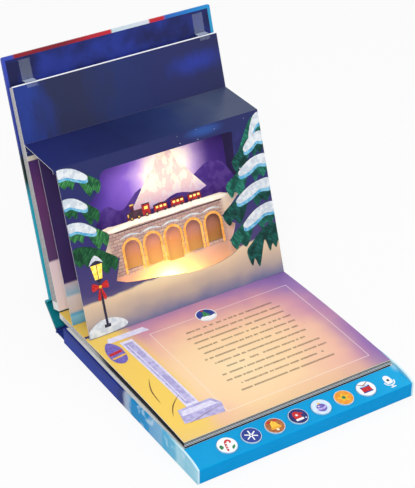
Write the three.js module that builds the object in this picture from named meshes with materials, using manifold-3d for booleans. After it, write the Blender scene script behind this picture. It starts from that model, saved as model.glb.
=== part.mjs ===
// Light-up, recordable pop-up sound book, standing open.
// Millimetres, +Z up. The origin is the middle of the case's flat underside, the button console
// faces -Y and the cover leans back towards +Y.

import * as THREE from 'three';
import { mergeVertices } from 'three/addons/utils/BufferGeometryUtils.js';
import Module from 'manifold-3d';

const wasm = await Module();
wasm.setup();

// Driving dimensions
const CASE_WIDTH = 246;
const CASE_DEPTH = 257;
const CASE_HEIGHT = 18.5;
const WALL = 2;
const FLOOR = 1.8;
const DECK = 1.5;
const GAP = 0.3;

const CONSOLE_DEPTH = 29.3;
const CONSOLE_FRONT_HEIGHT = 16;
const CONSOLE_REAR_HEIGHT = 19.6;
const CHEEK_REAR_HEIGHT = 21.6;
const CHEEK_BULGE = 3.2;
const FASCIA = 1.6;

const BUTTON_COUNT = 7;
const BUTTON_DIAMETER = 20;
const ROW_LEFT_MARGIN = 40.5;
const ROW_RIGHT_MARGIN = 20.7;
const BUTTON_PITCH = (CASE_WIDTH - ROW_LEFT_MARGIN - ROW_RIGHT_MARGIN) / BUTTON_COUNT;
const FIRST_BUTTON_X = ROW_LEFT_MARGIN - CASE_WIDTH / 2;
const BUTTON_PROUD = 0.8;
const BUTTON_TRAVEL = 1;
const BUTTON_RADIAL_GAP = 0.4;
const MICROPHONE_HOLE = 2.8;

const PAGE_WIDTH = 236;
const LEAF = 0.95;
const LEAF_COUNT = 5;
const LOWER_SLIT = 0.45;
const LOWER_BOW = 2.2;
const UPPER_ROOT_THICKNESS = 12.4;
const UPPER_EDGE_THICKNESS = 8;

const LEAF_LEAN = 18.5;
const LEAF_FOOT_Y = 146;
const LEAF_FOOT_Z = 26.8;

const COVER_WIDTH = 240;
const COVER_LENGTH = 254;
const COVER_TOP_MARGIN = 19;
const PAGE_LENGTH = COVER_LENGTH - COVER_TOP_MARGIN;
const COVER_BOARD = 3;
const COVER_LEAN = 17.4;
const COVER_FOOT_Y = 161.6;
const COVER_FOOT_Z = 31.9;

const SPINE_BOARD = 2.5;
const SPINE_LENGTH = 34;
const SPINE_ANGLE = 45;
const SPINE_AXIS_Y = 147.6;
const SPINE_AXIS_Z = 1.4;
const WRAP_PAPER = 0.6;

const CARD = 0.5;
const POPUP_DEPTH = 60;
const POPUP_HEIGHT = 177;
const POPUP_SIDE_INSET = 3;
const GLUE_FLAP = 12;
const FOOT_FLAP = 7;
const SKY_SHARE = 0.52;
const SCENERY_SHARE = 0.26;

const CELL_DIAMETER = 10.4;
const CELL_LENGTH = 44.5;
const CELL_COUNT = 3;

const HALF_DEPTH = CASE_DEPTH / 2;
const FRONT_Y = -HALF_DEPTH;
const REAR_Y = HALF_DEPTH;
const SIDE_X = CASE_WIDTH / 2;
const CONSOLE_REAR_Y = FRONT_Y + CONSOLE_DEPTH;
const CONSOLE_SLOPE = Math.atan2(CONSOLE_REAR_HEIGHT - CONSOLE_FRONT_HEIGHT, CONSOLE_DEPTH);
const DECK_UNDERSIDE = CASE_HEIGHT - DECK;
const PAGE_FRONT_Y = CONSOLE_REAR_Y + 1.2;
const PAGE_REAR_Y = LEAF_FOOT_Y - 2 * GAP;

const toRadians = THREE.MathUtils.degToRad;

// Solids and shapes

function solid(geometry) {
  const bare = geometry.clone();
  bare.deleteAttribute('normal');
  bare.deleteAttribute('uv');
  const merged = mergeVertices(bare, 1e-4);
  return new wasm.Manifold(new wasm.Mesh({
    numProp: 3,
    vertProperties: Float32Array.from(merged.attributes.position.array),
    triVerts: Uint32Array.from(merged.index.array),
  }));
}

function geometryOf(manifold) {
  const mesh = manifold.getMesh();
  const points = new Float32Array(mesh.numVert * 3);
  for (let i = 0; i < mesh.numVert; i += 1) {
    for (let k = 0; k < 3; k += 1) {
      points[3 * i + k] = mesh.vertProperties[mesh.numProp * i + k];
    }
  }
  const geometry = new THREE.BufferGeometry();
  geometry.setAttribute('position', new THREE.BufferAttribute(points, 3));
  geometry.setIndex(new THREE.BufferAttribute(Uint32Array.from(mesh.triVerts), 1));
  return geometry;
}

function join(first, ...others) {
  return others.reduce((whole, piece) => whole.add(piece), first);
}

function polygon(points) {
  return new THREE.Shape(points.map(([u, v]) => new THREE.Vector2(u, v)));
}

function extrude(shape, depth, curveSegments = 8) {
  return new THREE.ExtrudeGeometry(shape, { depth, bevelEnabled: false, curveSegments });
}

// A side profile in (y, z), drawn out along X from x0 to x1
function alongX(shape, x0, x1, curveSegments = 8) {
  const toWorld = new THREE.Matrix4().makeBasis(
    new THREE.Vector3(0, 1, 0), new THREE.Vector3(0, 0, 1), new THREE.Vector3(1, 0, 0));
  return extrude(shape, x1 - x0, curveSegments).applyMatrix4(toWorld).translate(x0, 0, 0);
}

function box(x0, x1, y0, y1, z0, z1) {
  return new THREE.BoxGeometry(x1 - x0, y1 - y0, z1 - z0)
    .translate((x0 + x1) / 2, (y0 + y1) / 2, (z0 + z1) / 2);
}

function upright(radius, x, y, z0, z1, sides = 20) {
  return new THREE.CylinderGeometry(radius, radius, z1 - z0, sides)
    .rotateX(Math.PI / 2).translate(x, y, (z0 + z1) / 2);
}

// A profile in (radius, z) turned about an upright axis
function turned(profile, x, y, sides = 24) {
  const points = profile.map(([r, z]) => new THREE.Vector2(r, z));
  return new THREE.LatheGeometry(points, sides).rotateX(Math.PI / 2).translate(x, y, 0);
}

// A sheet of even thickness that follows a folded line in (y, z), its body to the left of the line
function folded(line, thickness) {
  const normals = line.slice(1).map(([y, z], i) => {
    const run = new THREE.Vector2(y - line[i][0], z - line[i][1]).normalize();
    return new THREE.Vector2(-run.y, run.x);
  });
  const inner = line.map(([y, z], i) => {
    const before = normals[Math.max(i - 1, 0)];
    const after = normals[Math.min(i, normals.length - 1)];
    const mitre = before.clone().add(after).normalize();
    const reach = thickness / mitre.dot(after);
    return [y + mitre.x * reach, z + mitre.y * reach];
  });
  return polygon([...line, ...inner.reverse()]);
}

function roundedRectangle(u0, u1, v0, v1, radius) {
  const shape = new THREE.Shape();
  shape.moveTo(u0 + radius, v0);
  shape.lineTo(u1 - radius, v0);
  shape.absarc(u1 - radius, v0 + radius, radius, -Math.PI / 2, 0);
  shape.lineTo(u1, v1 - radius);
  shape.absarc(u1 - radius, v1 - radius, radius, 0, Math.PI / 2);
  shape.lineTo(u0 + radius, v1);
  shape.absarc(u0 + radius, v1 - radius, radius, Math.PI / 2, Math.PI);
  shape.lineTo(u0, v0 + radius);
  shape.absarc(u0 + radius, v0 + radius, radius, Math.PI, Math.PI * 1.5);
  return shape;
}

// Finishes

function finish(color, roughness, metalness = 0) {
  return new THREE.MeshStandardMaterial({ color, roughness, metalness });
}

const printedCase = () => finish(0x3f6fc4, 0.45);
const printedBlue = () => finish(0x2fb4e6, 0.4);
const printedPaper = () => finish(0xe9cfa8, 0.6);
const printedCard = () => finish(0x463a86, 0.5);
const coverPaper = () => finish(0x27356f, 0.4);
const clearFilm = () => finish(0xaab4c4, 0.15);
const whitePlastic = () => finish(0xe8eaec, 0.5);
const darkPlastic = () => finish(0x2a2c30, 0.5);
const steel = () => finish(0xb9bcc0, 0.35, 1);
const rubberGrey = () => finish(0x9aa0a6, 0.8);
const boardGreen = () => finish(0x1f6b3d, 0.5);

const book = new THREE.Group();

function place(name, geometry, material, parent = book) {
  const mesh = new THREE.Mesh(geometry, material);
  mesh.name = name;
  parent.add(mesh);
  return mesh;
}

// Screw posts stand on the tray's floor and meet bosses above them
const POST_RADIUS = 4.2;
const SCREW_SHAFT = 1.25;
const SCREW_HEAD = 2.8;
const SCREW_HEAD_DEPTH = 1.5;
const SCREW_HOLE = SCREW_SHAFT + GAP;
const HEAD_HOLE = SCREW_HEAD + GAP;
const HEAD_RECESS = 0.5;
const POST_TOP = 9.6;
const DECK_POST_INSET = 17;
const CONSOLE_POST_INSET = 11;
const deckPostX = SIDE_X - DECK_POST_INSET;
const deckPosts = [-deckPostX, deckPostX].flatMap((x) => [
  [x, CONSOLE_REAR_Y + DECK_POST_INSET], [x, REAR_Y - DECK_POST_INSET]]);
const consolePosts = [-1, 1].map((side) => [side * (SIDE_X - CONSOLE_POST_INSET), FRONT_Y + CONSOLE_DEPTH / 2]);
const posts = [...deckPosts, ...consolePosts];

// Battery bay, speaker well, lamp and switch places
const BAY_WALL = 1.2;
const BAY_X = 46;
const BAY_Y = 30;
const CELL_PITCH = CELL_DIAMETER + 0.5;
const BAY_HALF_WIDTH = (CELL_COUNT * CELL_PITCH) / 2 + 0.6;
const BAY_HALF_LENGTH = CELL_LENGTH / 2 + 4.2;
const CELL_Z = FLOOR + GAP + CELL_DIAMETER / 2;
const BAY_CEILING = CELL_Z + CELL_DIAMETER / 2 + GAP;
const DOOR = 1.4;
const DOOR_TAB = 10;
const DOOR_TAB_THICKNESS = 2.6;
const DOOR_SCREW_Y = BAY_Y + BAY_HALF_LENGTH + DOOR_TAB / 2 + 0.5;
const DOOR_SCREW_HEAD = 2.2;
const SPEAKER_X = -60;
const SPEAKER_Y = 22;
const SPEAKER_RADIUS = 20;
const GRILLE_HOLE = 1.3;
const GRILLE_PITCH = 5.4;
const LAMP_RADIUS = 2.5;
const LAMP_HOLE = LAMP_RADIUS + 1.5;
const LAMP_X = -6;
const LAMP_Y = LEAF_FOOT_Y - POPUP_DEPTH + FOOT_FLAP + LAMP_HOLE + 0.5;
const SWITCH_X = 60;
const SWITCH_Y = -60;
const SWITCH_TRAVEL = 2.5;
const SWITCH_KNOB = 5;
const SWITCH_WIDTH = 4;

// The tray's side wall: level under the pages, rising to the cheek that ends the console
function sideWallProfile() {
  const shape = new THREE.Shape();
  shape.moveTo(FRONT_Y, 0);
  shape.lineTo(REAR_Y, 0);
  shape.lineTo(REAR_Y, CASE_HEIGHT);
  shape.lineTo(0, CASE_HEIGHT);
  shape.bezierCurveTo(
    CONSOLE_REAR_Y * 0.4, CASE_HEIGHT,
    CONSOLE_REAR_Y * 0.7, CHEEK_REAR_HEIGHT,
    CONSOLE_REAR_Y, CHEEK_REAR_HEIGHT);
  shape.bezierCurveTo(
    CONSOLE_REAR_Y - CONSOLE_DEPTH * 0.45, CHEEK_REAR_HEIGHT,
    FRONT_Y + CONSOLE_DEPTH * 0.12, CONSOLE_FRONT_HEIGHT + CHEEK_BULGE,
    FRONT_Y, CONSOLE_FRONT_HEIGHT);
  return shape;
}

function trayGeometry() {
  const profile = sideWallProfile();
  const inner = SIDE_X - WALL;
  const floorFront = FRONT_Y + FASCIA + GAP;
  const parts = [
    solid(alongX(profile, inner, SIDE_X, 7)),
    solid(box(-SIDE_X + 0.5, SIDE_X - 0.5, floorFront, REAR_Y - 0.5, 0, FLOOR)),
    solid(box(-SIDE_X + 0.5, SIDE_X - 0.5, REAR_Y - WALL, REAR_Y, 0, CASE_HEIGHT)),
    solid(box(
      BAY_X - BAY_HALF_WIDTH - BAY_WALL, BAY_X + BAY_HALF_WIDTH + BAY_WALL,
      BAY_Y - BAY_HALF_LENGTH - BAY_WALL, BAY_Y + BAY_HALF_LENGTH + BAY_WALL,
      FLOOR / 2, BAY_CEILING + BAY_WALL)),
    solid(upright(SPEAKER_RADIUS + GAP + BAY_WALL, SPEAKER_X, SPEAKER_Y, FLOOR / 2, FLOOR + 3, 40)),
    solid(upright(POST_RADIUS, LAMP_X, LAMP_Y, FLOOR / 2, DECK_UNDERSIDE - 2.4 - GAP)),
  ];
  parts.push(solid(box(
    BAY_X - DOOR_TAB / 2 - BAY_WALL, BAY_X + DOOR_TAB / 2 + BAY_WALL,
    BAY_Y + BAY_HALF_LENGTH, DOOR_SCREW_Y + DOOR_TAB / 2 + BAY_WALL, FLOOR / 2, POST_TOP)));
  for (const [x, y] of posts) {
    parts.push(solid(upright(POST_RADIUS, x, y, FLOOR / 2, POST_TOP)));
  }
  for (const x of boardRests) {
    parts.push(solid(upright(3, x, BOARD_REST_Y, FLOOR / 2, boardUndersideAt(BOARD_REST_Y) - GAP - 0.5, 16)));
  }
  let tray = join(solid(alongX(profile, -SIDE_X, -inner, 7)), ...parts);
  const cuts = [
    solid(box(
      BAY_X - BAY_HALF_WIDTH, BAY_X + BAY_HALF_WIDTH,
      BAY_Y - BAY_HALF_LENGTH, BAY_Y + BAY_HALF_LENGTH, -1, BAY_CEILING)),
    solid(upright(SPEAKER_RADIUS + GAP, SPEAKER_X, SPEAKER_Y, FLOOR, FLOOR + 4, 40)),
    solid(box(
      BAY_X - DOOR_TAB / 2, BAY_X + DOOR_TAB / 2,
      BAY_Y + BAY_HALF_LENGTH - 1, DOOR_SCREW_Y + DOOR_TAB / 2, -1, DOOR_TAB_THICKNESS + 2 * GAP)),
    solid(upright(SCREW_HOLE, BAY_X, DOOR_SCREW_Y, 0, POST_TOP - 1, 12)),
    solid(box(
      SWITCH_X - SWITCH_KNOB / 2 - SWITCH_TRAVEL - GAP, SWITCH_X + SWITCH_KNOB / 2 + SWITCH_TRAVEL + GAP,
      SWITCH_Y - SWITCH_WIDTH / 2 - GAP, SWITCH_Y + SWITCH_WIDTH / 2 + GAP, -1, FLOOR + 1)),
  ];
  for (const [x, y] of posts) {
    cuts.push(solid(upright(SCREW_HOLE, x, y, -1, POST_TOP + 1, 12)));
    cuts.push(solid(upright(HEAD_HOLE, x, y, -1, HEAD_RECESS + SCREW_HEAD_DEPTH + GAP, 16)));
  }
  for (const [x, y] of grilleHoles()) {
    cuts.push(solid(upright(GRILLE_HOLE, x, y, -1, FLOOR + 1, 10)));
  }
  for (const cut of cuts) {
    tray = tray.subtract(cut);
  }
  return geometryOf(tray);
}

function grilleHoles() {
  const holes = [];
  for (let row = -2; row <= 2; row += 1) {
    for (let column = -2; column <= 2; column += 1) {
      const x = (column + (row % 2) * 0.5) * GRILLE_PITCH;
      const y = row * GRILLE_PITCH * 0.87;
      if (Math.hypot(x, y) < SPEAKER_RADIUS * 0.62) {
        holes.push([SPEAKER_X + x, SPEAKER_Y + y]);
      }
    }
  }
  return holes;
}

// The console's own frame lies on its sloping face: local Y climbs the slope, local Z stands off it
const consoleFrame = new THREE.Group();
consoleFrame.position.set(0, FRONT_Y, CONSOLE_FRONT_HEIGHT);
consoleFrame.rotation.x = CONSOLE_SLOPE;
book.add(consoleFrame);
consoleFrame.updateMatrixWorld(true);

const BUTTON_ROW = CONSOLE_DEPTH / 2 / Math.cos(CONSOLE_SLOPE) - 0.4;
const FLANGE = 1;
const FLANGE_RADIUS = BUTTON_DIAMETER / 2 + 1.4;
const FLANGE_TOP = -FASCIA - GAP;
const STEM_RADIUS = 3;
const STEM_LENGTH = 1.5;
const STEM_BOTTOM = FLANGE_TOP - FLANGE - STEM_LENGTH;
const DOME_TOP = STEM_BOTTOM - BUTTON_TRAVEL - GAP;
const DOME_HEIGHT = 1.5;
const MAT = 1;
const MAT_TOP = DOME_TOP - DOME_HEIGHT;
const BOARD = 1.2;
const BOARD_TOP = MAT_TOP - MAT - GAP;
const BOARD_FRONT = 6;
const BOARD_REAR = 24;
const MICROPHONE_X = FIRST_BUTTON_X + BUTTON_COUNT * BUTTON_PITCH;
const MICROPHONE_RADIUS = 3;
const BOARD_LEFT_X = FIRST_BUTTON_X - 12;
const BOARD_RIGHT_X = MICROPHONE_X + 5;
const buttonXs = Array.from({ length: BUTTON_COUNT }, (_, i) => FIRST_BUTTON_X + i * BUTTON_PITCH);
const BOARD_REST_Y = FRONT_Y + 14;
const boardRests = [BOARD_LEFT_X + 6, (BOARD_LEFT_X + BOARD_RIGHT_X) / 2 - 14, BOARD_RIGHT_X - 6];

function boardUndersideAt(y) {
  const alongSlope = (y - FRONT_Y) * Math.tan(CONSOLE_SLOPE);
  return CONSOLE_FRONT_HEIGHT + alongSlope + (BOARD_TOP - BOARD) / Math.cos(CONSOLE_SLOPE);
}

// The fascia is one moulded channel: front face, sloping top with its holes, and a rear skirt
function fasciaGeometry() {
  const reach = SIDE_X - WALL - GAP;
  const skirtFoot = DECK_UNDERSIDE - 7;
  const line = [
    [FRONT_Y, GAP],
    [FRONT_Y, CONSOLE_FRONT_HEIGHT - 1.4],
    [FRONT_Y + 0.35, CONSOLE_FRONT_HEIGHT - 0.45],
    [FRONT_Y + 1.2, CONSOLE_FRONT_HEIGHT + 1.2 * Math.tan(CONSOLE_SLOPE)],
    [CONSOLE_REAR_Y, CONSOLE_REAR_HEIGHT],
    [CONSOLE_REAR_Y, skirtFoot],
  ];
  const profile = folded([...line].reverse(), FASCIA);
  const bossTop = CONSOLE_REAR_HEIGHT - 3;
  let fascia = solid(alongX(profile, -reach, reach));
  for (const [x, y] of consolePosts) {
    fascia = fascia.add(solid(upright(POST_RADIUS - 1, x, y, POST_TOP + GAP, bossTop)));
  }
  const wellWall = solid(new THREE.CylinderGeometry(MICROPHONE_RADIUS + 1.2, MICROPHONE_RADIUS + 1.2, 4, 20)
    .rotateX(Math.PI / 2).translate(MICROPHONE_X, BUTTON_ROW, -FASCIA - 1.7)
    .applyMatrix4(consoleFrame.matrixWorld));
  fascia = fascia.add(wellWall);
  const well = solid(new THREE.CylinderGeometry(MICROPHONE_RADIUS - 0.6, MICROPHONE_RADIUS - 0.6, 4, 20)
    .rotateX(Math.PI / 2).translate(MICROPHONE_X, BUTTON_ROW, -FASCIA - 2)
    .applyMatrix4(consoleFrame.matrixWorld));
  fascia = fascia.subtract(well);
  const holeRadius = BUTTON_DIAMETER / 2 + BUTTON_RADIAL_GAP;
  for (const x of buttonXs) {
    fascia = fascia.subtract(solid(new THREE.CylinderGeometry(holeRadius, holeRadius, 8, 24)
      .rotateX(Math.PI / 2).translate(x, BUTTON_ROW, 0).applyMatrix4(consoleFrame.matrixWorld)));
  }
  fascia = fascia.subtract(solid(new THREE.CylinderGeometry(MICROPHONE_HOLE / 2, MICROPHONE_HOLE / 2, 8, 14)
    .rotateX(Math.PI / 2).translate(MICROPHONE_X, BUTTON_ROW, 0).applyMatrix4(consoleFrame.matrixWorld)));
  for (const [x, y] of consolePosts) {
    fascia = fascia.subtract(solid(upright(SCREW_HOLE, x, y, 0, bossTop - 1.5, 12)));
  }
  return geometryOf(fascia);
}

// A button is a low crowned disc with a retaining flange under the fascia and a stem over its dome
function buttonGeometry() {
  const radius = BUTTON_DIAMETER / 2;
  return turned([
    [0, STEM_BOTTOM],
    [STEM_RADIUS, STEM_BOTTOM],
    [STEM_RADIUS, FLANGE_TOP - FLANGE],
    [FLANGE_RADIUS, FLANGE_TOP - FLANGE],
    [FLANGE_RADIUS, FLANGE_TOP],
    [radius, FLANGE_TOP],
    [radius, BUTTON_PROUD - 0.35],
    [radius - 0.5, BUTTON_PROUD],
    [0, BUTTON_PROUD + 0.25],
  ], 0, 0, 24);
}

function matGeometry() {
  const left = buttonXs[0] - FLANGE_RADIUS;
  const right = buttonXs[BUTTON_COUNT - 1] + FLANGE_RADIUS;
  let mat = solid(box(left, right, BOARD_FRONT + 1, BOARD_REAR - 1, MAT_TOP - MAT, MAT_TOP));
  for (const x of buttonXs) {
    const dome = turned([
      [0, MAT_TOP - MAT / 2],
      [6.5, MAT_TOP - MAT / 2],
      [6.5, MAT_TOP],
      [5, MAT_TOP + DOME_HEIGHT * 0.75],
      [3.4, DOME_TOP],
      [0, DOME_TOP],
    ], x, BUTTON_ROW, 16);
    mat = mat.add(solid(dome));
  }
  return geometryOf(mat);
}

function buildConsole() {
  place('console_fascia', fasciaGeometry(), printedBlue());
  const faces = [0xe9e4dc, 0x25306e, 0xb4672f, 0x2b2f5c, 0xbfd0ea, 0xe0892c, 0xdfe6f2];
  buttonXs.forEach((x, i) => {
    const button = place(`button_${i + 1}`, buttonGeometry(), finish(faces[i], 0.35), consoleFrame);
    button.position.set(x, BUTTON_ROW, 0);
  });
  place('button_mat', matGeometry(), rubberGrey(), consoleFrame);
  place('circuit_board', box(
    BOARD_LEFT_X, BOARD_RIGHT_X, BOARD_FRONT, BOARD_REAR, BOARD_TOP - BOARD, BOARD_TOP),
  boardGreen(), consoleFrame);
  place('microphone', turned([
    [0, BOARD_TOP + GAP],
    [MICROPHONE_RADIUS, BOARD_TOP + GAP],
    [MICROPHONE_RADIUS, BOARD_TOP + GAP + 2.4],
    [MICROPHONE_RADIUS - 0.4, BOARD_TOP + GAP + 2.7],
    [0, BOARD_TOP + GAP + 2.7],
  ], MICROPHONE_X, BUTTON_ROW, 20), steel(), consoleFrame);
  const chipTop = BOARD_TOP - BOARD - GAP;
  place('sound_chip', turned([
    [0, chipTop - 1.4],
    [3, chipTop - 1.1],
    [5, chipTop],
    [0, chipTop],
  ], buttonXs[3] + BUTTON_PITCH / 2, BUTTON_ROW + 2, 16), darkPlastic(), consoleFrame);
}

function buildDeck() {
  const reach = SIDE_X - WALL - GAP;
  const front = CONSOLE_REAR_Y + GAP;
  const rear = REAR_Y - WALL - GAP;
  let deck = solid(box(-reach, reach, front, rear, DECK_UNDERSIDE, CASE_HEIGHT));
  for (const [x, y] of deckPosts) {
    deck = deck.add(solid(upright(POST_RADIUS - 1, x, y, POST_TOP + GAP, CASE_HEIGHT - DECK / 2)));
  }
  for (const [x, y] of deckPosts) {
    deck = deck.subtract(solid(upright(SCREW_HOLE, x, y, 0, DECK_UNDERSIDE, 12)));
  }
  deck = deck.subtract(solid(upright(LAMP_RADIUS + 0.9, LAMP_X, LAMP_Y, 0, CASE_HEIGHT + 1)));
  place('case_deck', geometryOf(deck), printedPaper());
}

function buildScrews() {
  posts.forEach(([x, y], i) => {
    const tip = POST_TOP + 4.4;
    place(`case_screw_${i + 1}`, turned([
      [0, HEAD_RECESS],
      [SCREW_HEAD, HEAD_RECESS],
      [SCREW_HEAD, HEAD_RECESS + SCREW_HEAD_DEPTH],
      [SCREW_SHAFT, HEAD_RECESS + SCREW_HEAD_DEPTH],
      [SCREW_SHAFT, tip - 1],
      [0, tip],
    ], x, y, 12), steel());
  });
}

// Three cells lie side by side, seated between sprung contacts, under a screwed door
function buildBatteries() {
  const cellXs = Array.from({ length: CELL_COUNT }, (_, i) => BAY_X + (i - (CELL_COUNT - 1) / 2) * CELL_PITCH);
  const button = 1;
  cellXs.forEach((x, i) => {
    const radius = CELL_DIAMETER / 2;
    const body = CELL_LENGTH - button;
    const cell = new THREE.LatheGeometry([
      [0, -CELL_LENGTH / 2],
      [radius, -CELL_LENGTH / 2],
      [radius, -CELL_LENGTH / 2 + body],
      [1.9, -CELL_LENGTH / 2 + body],
      [1.9, CELL_LENGTH / 2],
      [0, CELL_LENGTH / 2],
    ].map(([r, h]) => new THREE.Vector2(r, h)), 20);
    if (i % 2 === 1) {
      cell.rotateX(Math.PI);
    }
    place(`battery_${i + 1}`, cell.translate(x, BAY_Y, CELL_Z), finish(0x3a3f46, 0.35, 0.4));
  });
  const contactHalf = CELL_DIAMETER / 2 - 0.6;
  const plate = 0.5;
  const contact = (name, xs, side) => {
    const outer = BAY_Y + side * (BAY_HALF_LENGTH - GAP);
    const inner = outer - side * plate;
    const left = Math.min(...xs) - contactHalf;
    const right = Math.max(...xs) + contactHalf;
    let strip = solid(box(left, right, Math.min(outer, inner), Math.max(outer, inner), CELL_Z - 4, CELL_Z + 4));
    for (const x of xs) {
      const reach = BAY_HALF_LENGTH - CELL_LENGTH / 2 - 2 * GAP;
      const spring = new THREE.CylinderGeometry(1.6, 3.2, reach, 16);
      if (side > 0) {
        spring.rotateX(Math.PI);
      }
      spring.translate(x, outer - (side * reach) / 2, CELL_Z);
      strip = strip.add(solid(spring));
    }
    place(name, geometryOf(strip), steel());
  };
  contact('contact_minus', [cellXs[0]], -1);
  contact('contact_bridge_front', [cellXs[1], cellXs[2]], -1);
  contact('contact_bridge_rear', [cellXs[0], cellXs[1]], 1);
  contact('contact_plus', [cellXs[2]], 1);

  let door = solid(box(
    BAY_X - BAY_HALF_WIDTH + GAP, BAY_X + BAY_HALF_WIDTH - GAP,
    BAY_Y - BAY_HALF_LENGTH + GAP, BAY_Y + BAY_HALF_LENGTH - GAP, GAP, GAP + DOOR));
  door = door.add(solid(box(
    BAY_X - DOOR_TAB / 2 + GAP, BAY_X + DOOR_TAB / 2 - GAP,
    BAY_Y + BAY_HALF_LENGTH - 1.5, DOOR_SCREW_Y + DOOR_TAB / 2 - GAP, GAP, GAP + DOOR)));
  door = door.add(solid(box(
    BAY_X - DOOR_TAB / 2 + GAP, BAY_X + DOOR_TAB / 2 - GAP,
    BAY_Y + BAY_HALF_LENGTH + GAP, DOOR_SCREW_Y + DOOR_TAB / 2 - GAP, GAP, GAP + DOOR_TAB_THICKNESS)));
  door = door.subtract(solid(upright(SCREW_HOLE, BAY_X, DOOR_SCREW_Y, 0, GAP + DOOR_TAB_THICKNESS + 1, 12)));
  door = door.subtract(solid(upright(DOOR_SCREW_HEAD + GAP, BAY_X, DOOR_SCREW_Y, 0, GAP + 1.3, 16)));
  for (let rib = -2; rib <= 2; rib += 1) {
    door = door.subtract(solid(box(
      BAY_X - 8, BAY_X + 8, BAY_Y + rib * 3 - 0.5, BAY_Y + rib * 3 + 0.5, -1, GAP + 0.5)));
  }
  place('battery_door', geometryOf(door), whitePlastic());
  place('door_screw', turned([
    [0, GAP + 0.2],
    [DOOR_SCREW_HEAD, GAP + 0.2],
    [DOOR_SCREW_HEAD, GAP + 1],
    [SCREW_SHAFT, GAP + 1],
    [SCREW_SHAFT, POST_TOP - 2.4],
    [0, POST_TOP - 1.4],
  ], BAY_X, DOOR_SCREW_Y, 12), steel());
}

function buildSpeaker() {
  const base = FLOOR + GAP;
  const r = SPEAKER_RADIUS;
  place('speaker_frame', turned([
    [r - 3.4, base],
    [r, base],
    [r, base + 1.3],
    [r - 2, base + 1.3],
    [r - 8.8, base + 6],
    [r - 12, base + 6],
    [r - 12, base + 5],
    [r - 9.4, base + 5],
    [r - 3.4, base],
  ], SPEAKER_X, SPEAKER_Y, 28), steel());
  place('speaker_magnet', turned([
    [0, base + 6 + GAP],
    [r - 10.5, base + 6 + GAP],
    [r - 10.5, base + 10],
    [0, base + 10],
  ], SPEAKER_X, SPEAKER_Y, 24), darkPlastic());
  place('speaker_cone', turned([
    [0, base + 2.4],
    [4.5, base + 3.1],
    [r - 4.8, base + 0.1],
    [r - 4.8, base + 0.5],
    [4.5, base + 3.7],
    [0, base + 3],
  ], SPEAKER_X, SPEAKER_Y, 24), darkPlastic());
}

// The lamp shines up through the deck and a hole in every lower leaf
function buildLamp() {
  const boardTop = DECK_UNDERSIDE - 1.2;
  place('lamp_board', box(LAMP_X - 6, LAMP_X + 6, LAMP_Y - 6, LAMP_Y + 6, boardTop - 1.2, boardTop), boardGreen());
  const foot = boardTop + GAP;
  const crown = CASE_HEIGHT + 5;
  place('lamp', turned([
    [0, foot],
    [LAMP_RADIUS, foot],
    [LAMP_RADIUS, crown - LAMP_RADIUS],
    [LAMP_RADIUS * 0.87, crown - LAMP_RADIUS * 0.5],
    [LAMP_RADIUS * 0.5, crown - LAMP_RADIUS * 0.13],
    [0, crown],
  ], LAMP_X, LAMP_Y, 16), finish(0xffd79a, 0.2));
  const lead = 0.9;
  const lying = FLOOR + GAP + lead;
  const route = new THREE.CatmullRomCurve3([
    new THREE.Vector3(LAMP_X - 6, LAMP_Y - 4, boardTop - 1.2 - GAP),
    new THREE.Vector3(LAMP_X - 6, LAMP_Y - 4, boardTop - 1.2 - GAP - 1.5),
    new THREE.Vector3(LAMP_X - 6, LAMP_Y - 8, 8),
    new THREE.Vector3(LAMP_X - 6, LAMP_Y - 17, lying + 0.6),
    new THREE.Vector3(LAMP_X - 6, LAMP_Y - 24, lying),
    new THREE.Vector3(LAMP_X - 6, LAMP_Y - 30, lying),
    new THREE.Vector3(LAMP_X - 6, 0, lying),
    new THREE.Vector3(LAMP_X - 6, CONSOLE_REAR_Y + 14, lying),
    new THREE.Vector3(LAMP_X - 6, CONSOLE_REAR_Y + 8, lying),
    new THREE.Vector3(LAMP_X - 6, CONSOLE_REAR_Y - 2, lying + 1),
    new THREE.Vector3(LAMP_X - 6, CONSOLE_REAR_Y - 9, boardUndersideAt(CONSOLE_REAR_Y - 9) - 2 * GAP),
  ], false, 'centripetal');
  const section = new THREE.Shape();
  section.absarc(0, 0, lead, 0, Math.PI * 2);
  place('lamp_lead', new THREE.ExtrudeGeometry(section, {
    steps: 44, bevelEnabled: false, extrudePath: route, curveSegments: 8,
  }), finish(0xc23b2e, 0.6));
}

function buildSwitch() {
  const half = SWITCH_KNOB / 2;
  const wide = SWITCH_WIDTH / 2;
  const flangeZ = FLOOR + GAP;
  let knob = solid(box(SWITCH_X - half, SWITCH_X + half, SWITCH_Y - wide, SWITCH_Y + wide, 0.5, flangeZ + 0.5));
  knob = knob.add(solid(box(
    SWITCH_X - half - 4, SWITCH_X + half + 4, SWITCH_Y - wide - 1.5, SWITCH_Y + wide + 1.5,
    flangeZ, flangeZ + 1.2)));
  for (const ridge of [-1, 0, 1]) {
    knob = knob.subtract(solid(box(
      SWITCH_X + ridge * 1.3 - 0.3, SWITCH_X + ridge * 1.3 + 0.3, SWITCH_Y - 3, SWITCH_Y + 3, 0, 0.9)));
  }
  place('mode_switch', geometryOf(knob), darkPlastic());
}

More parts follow.
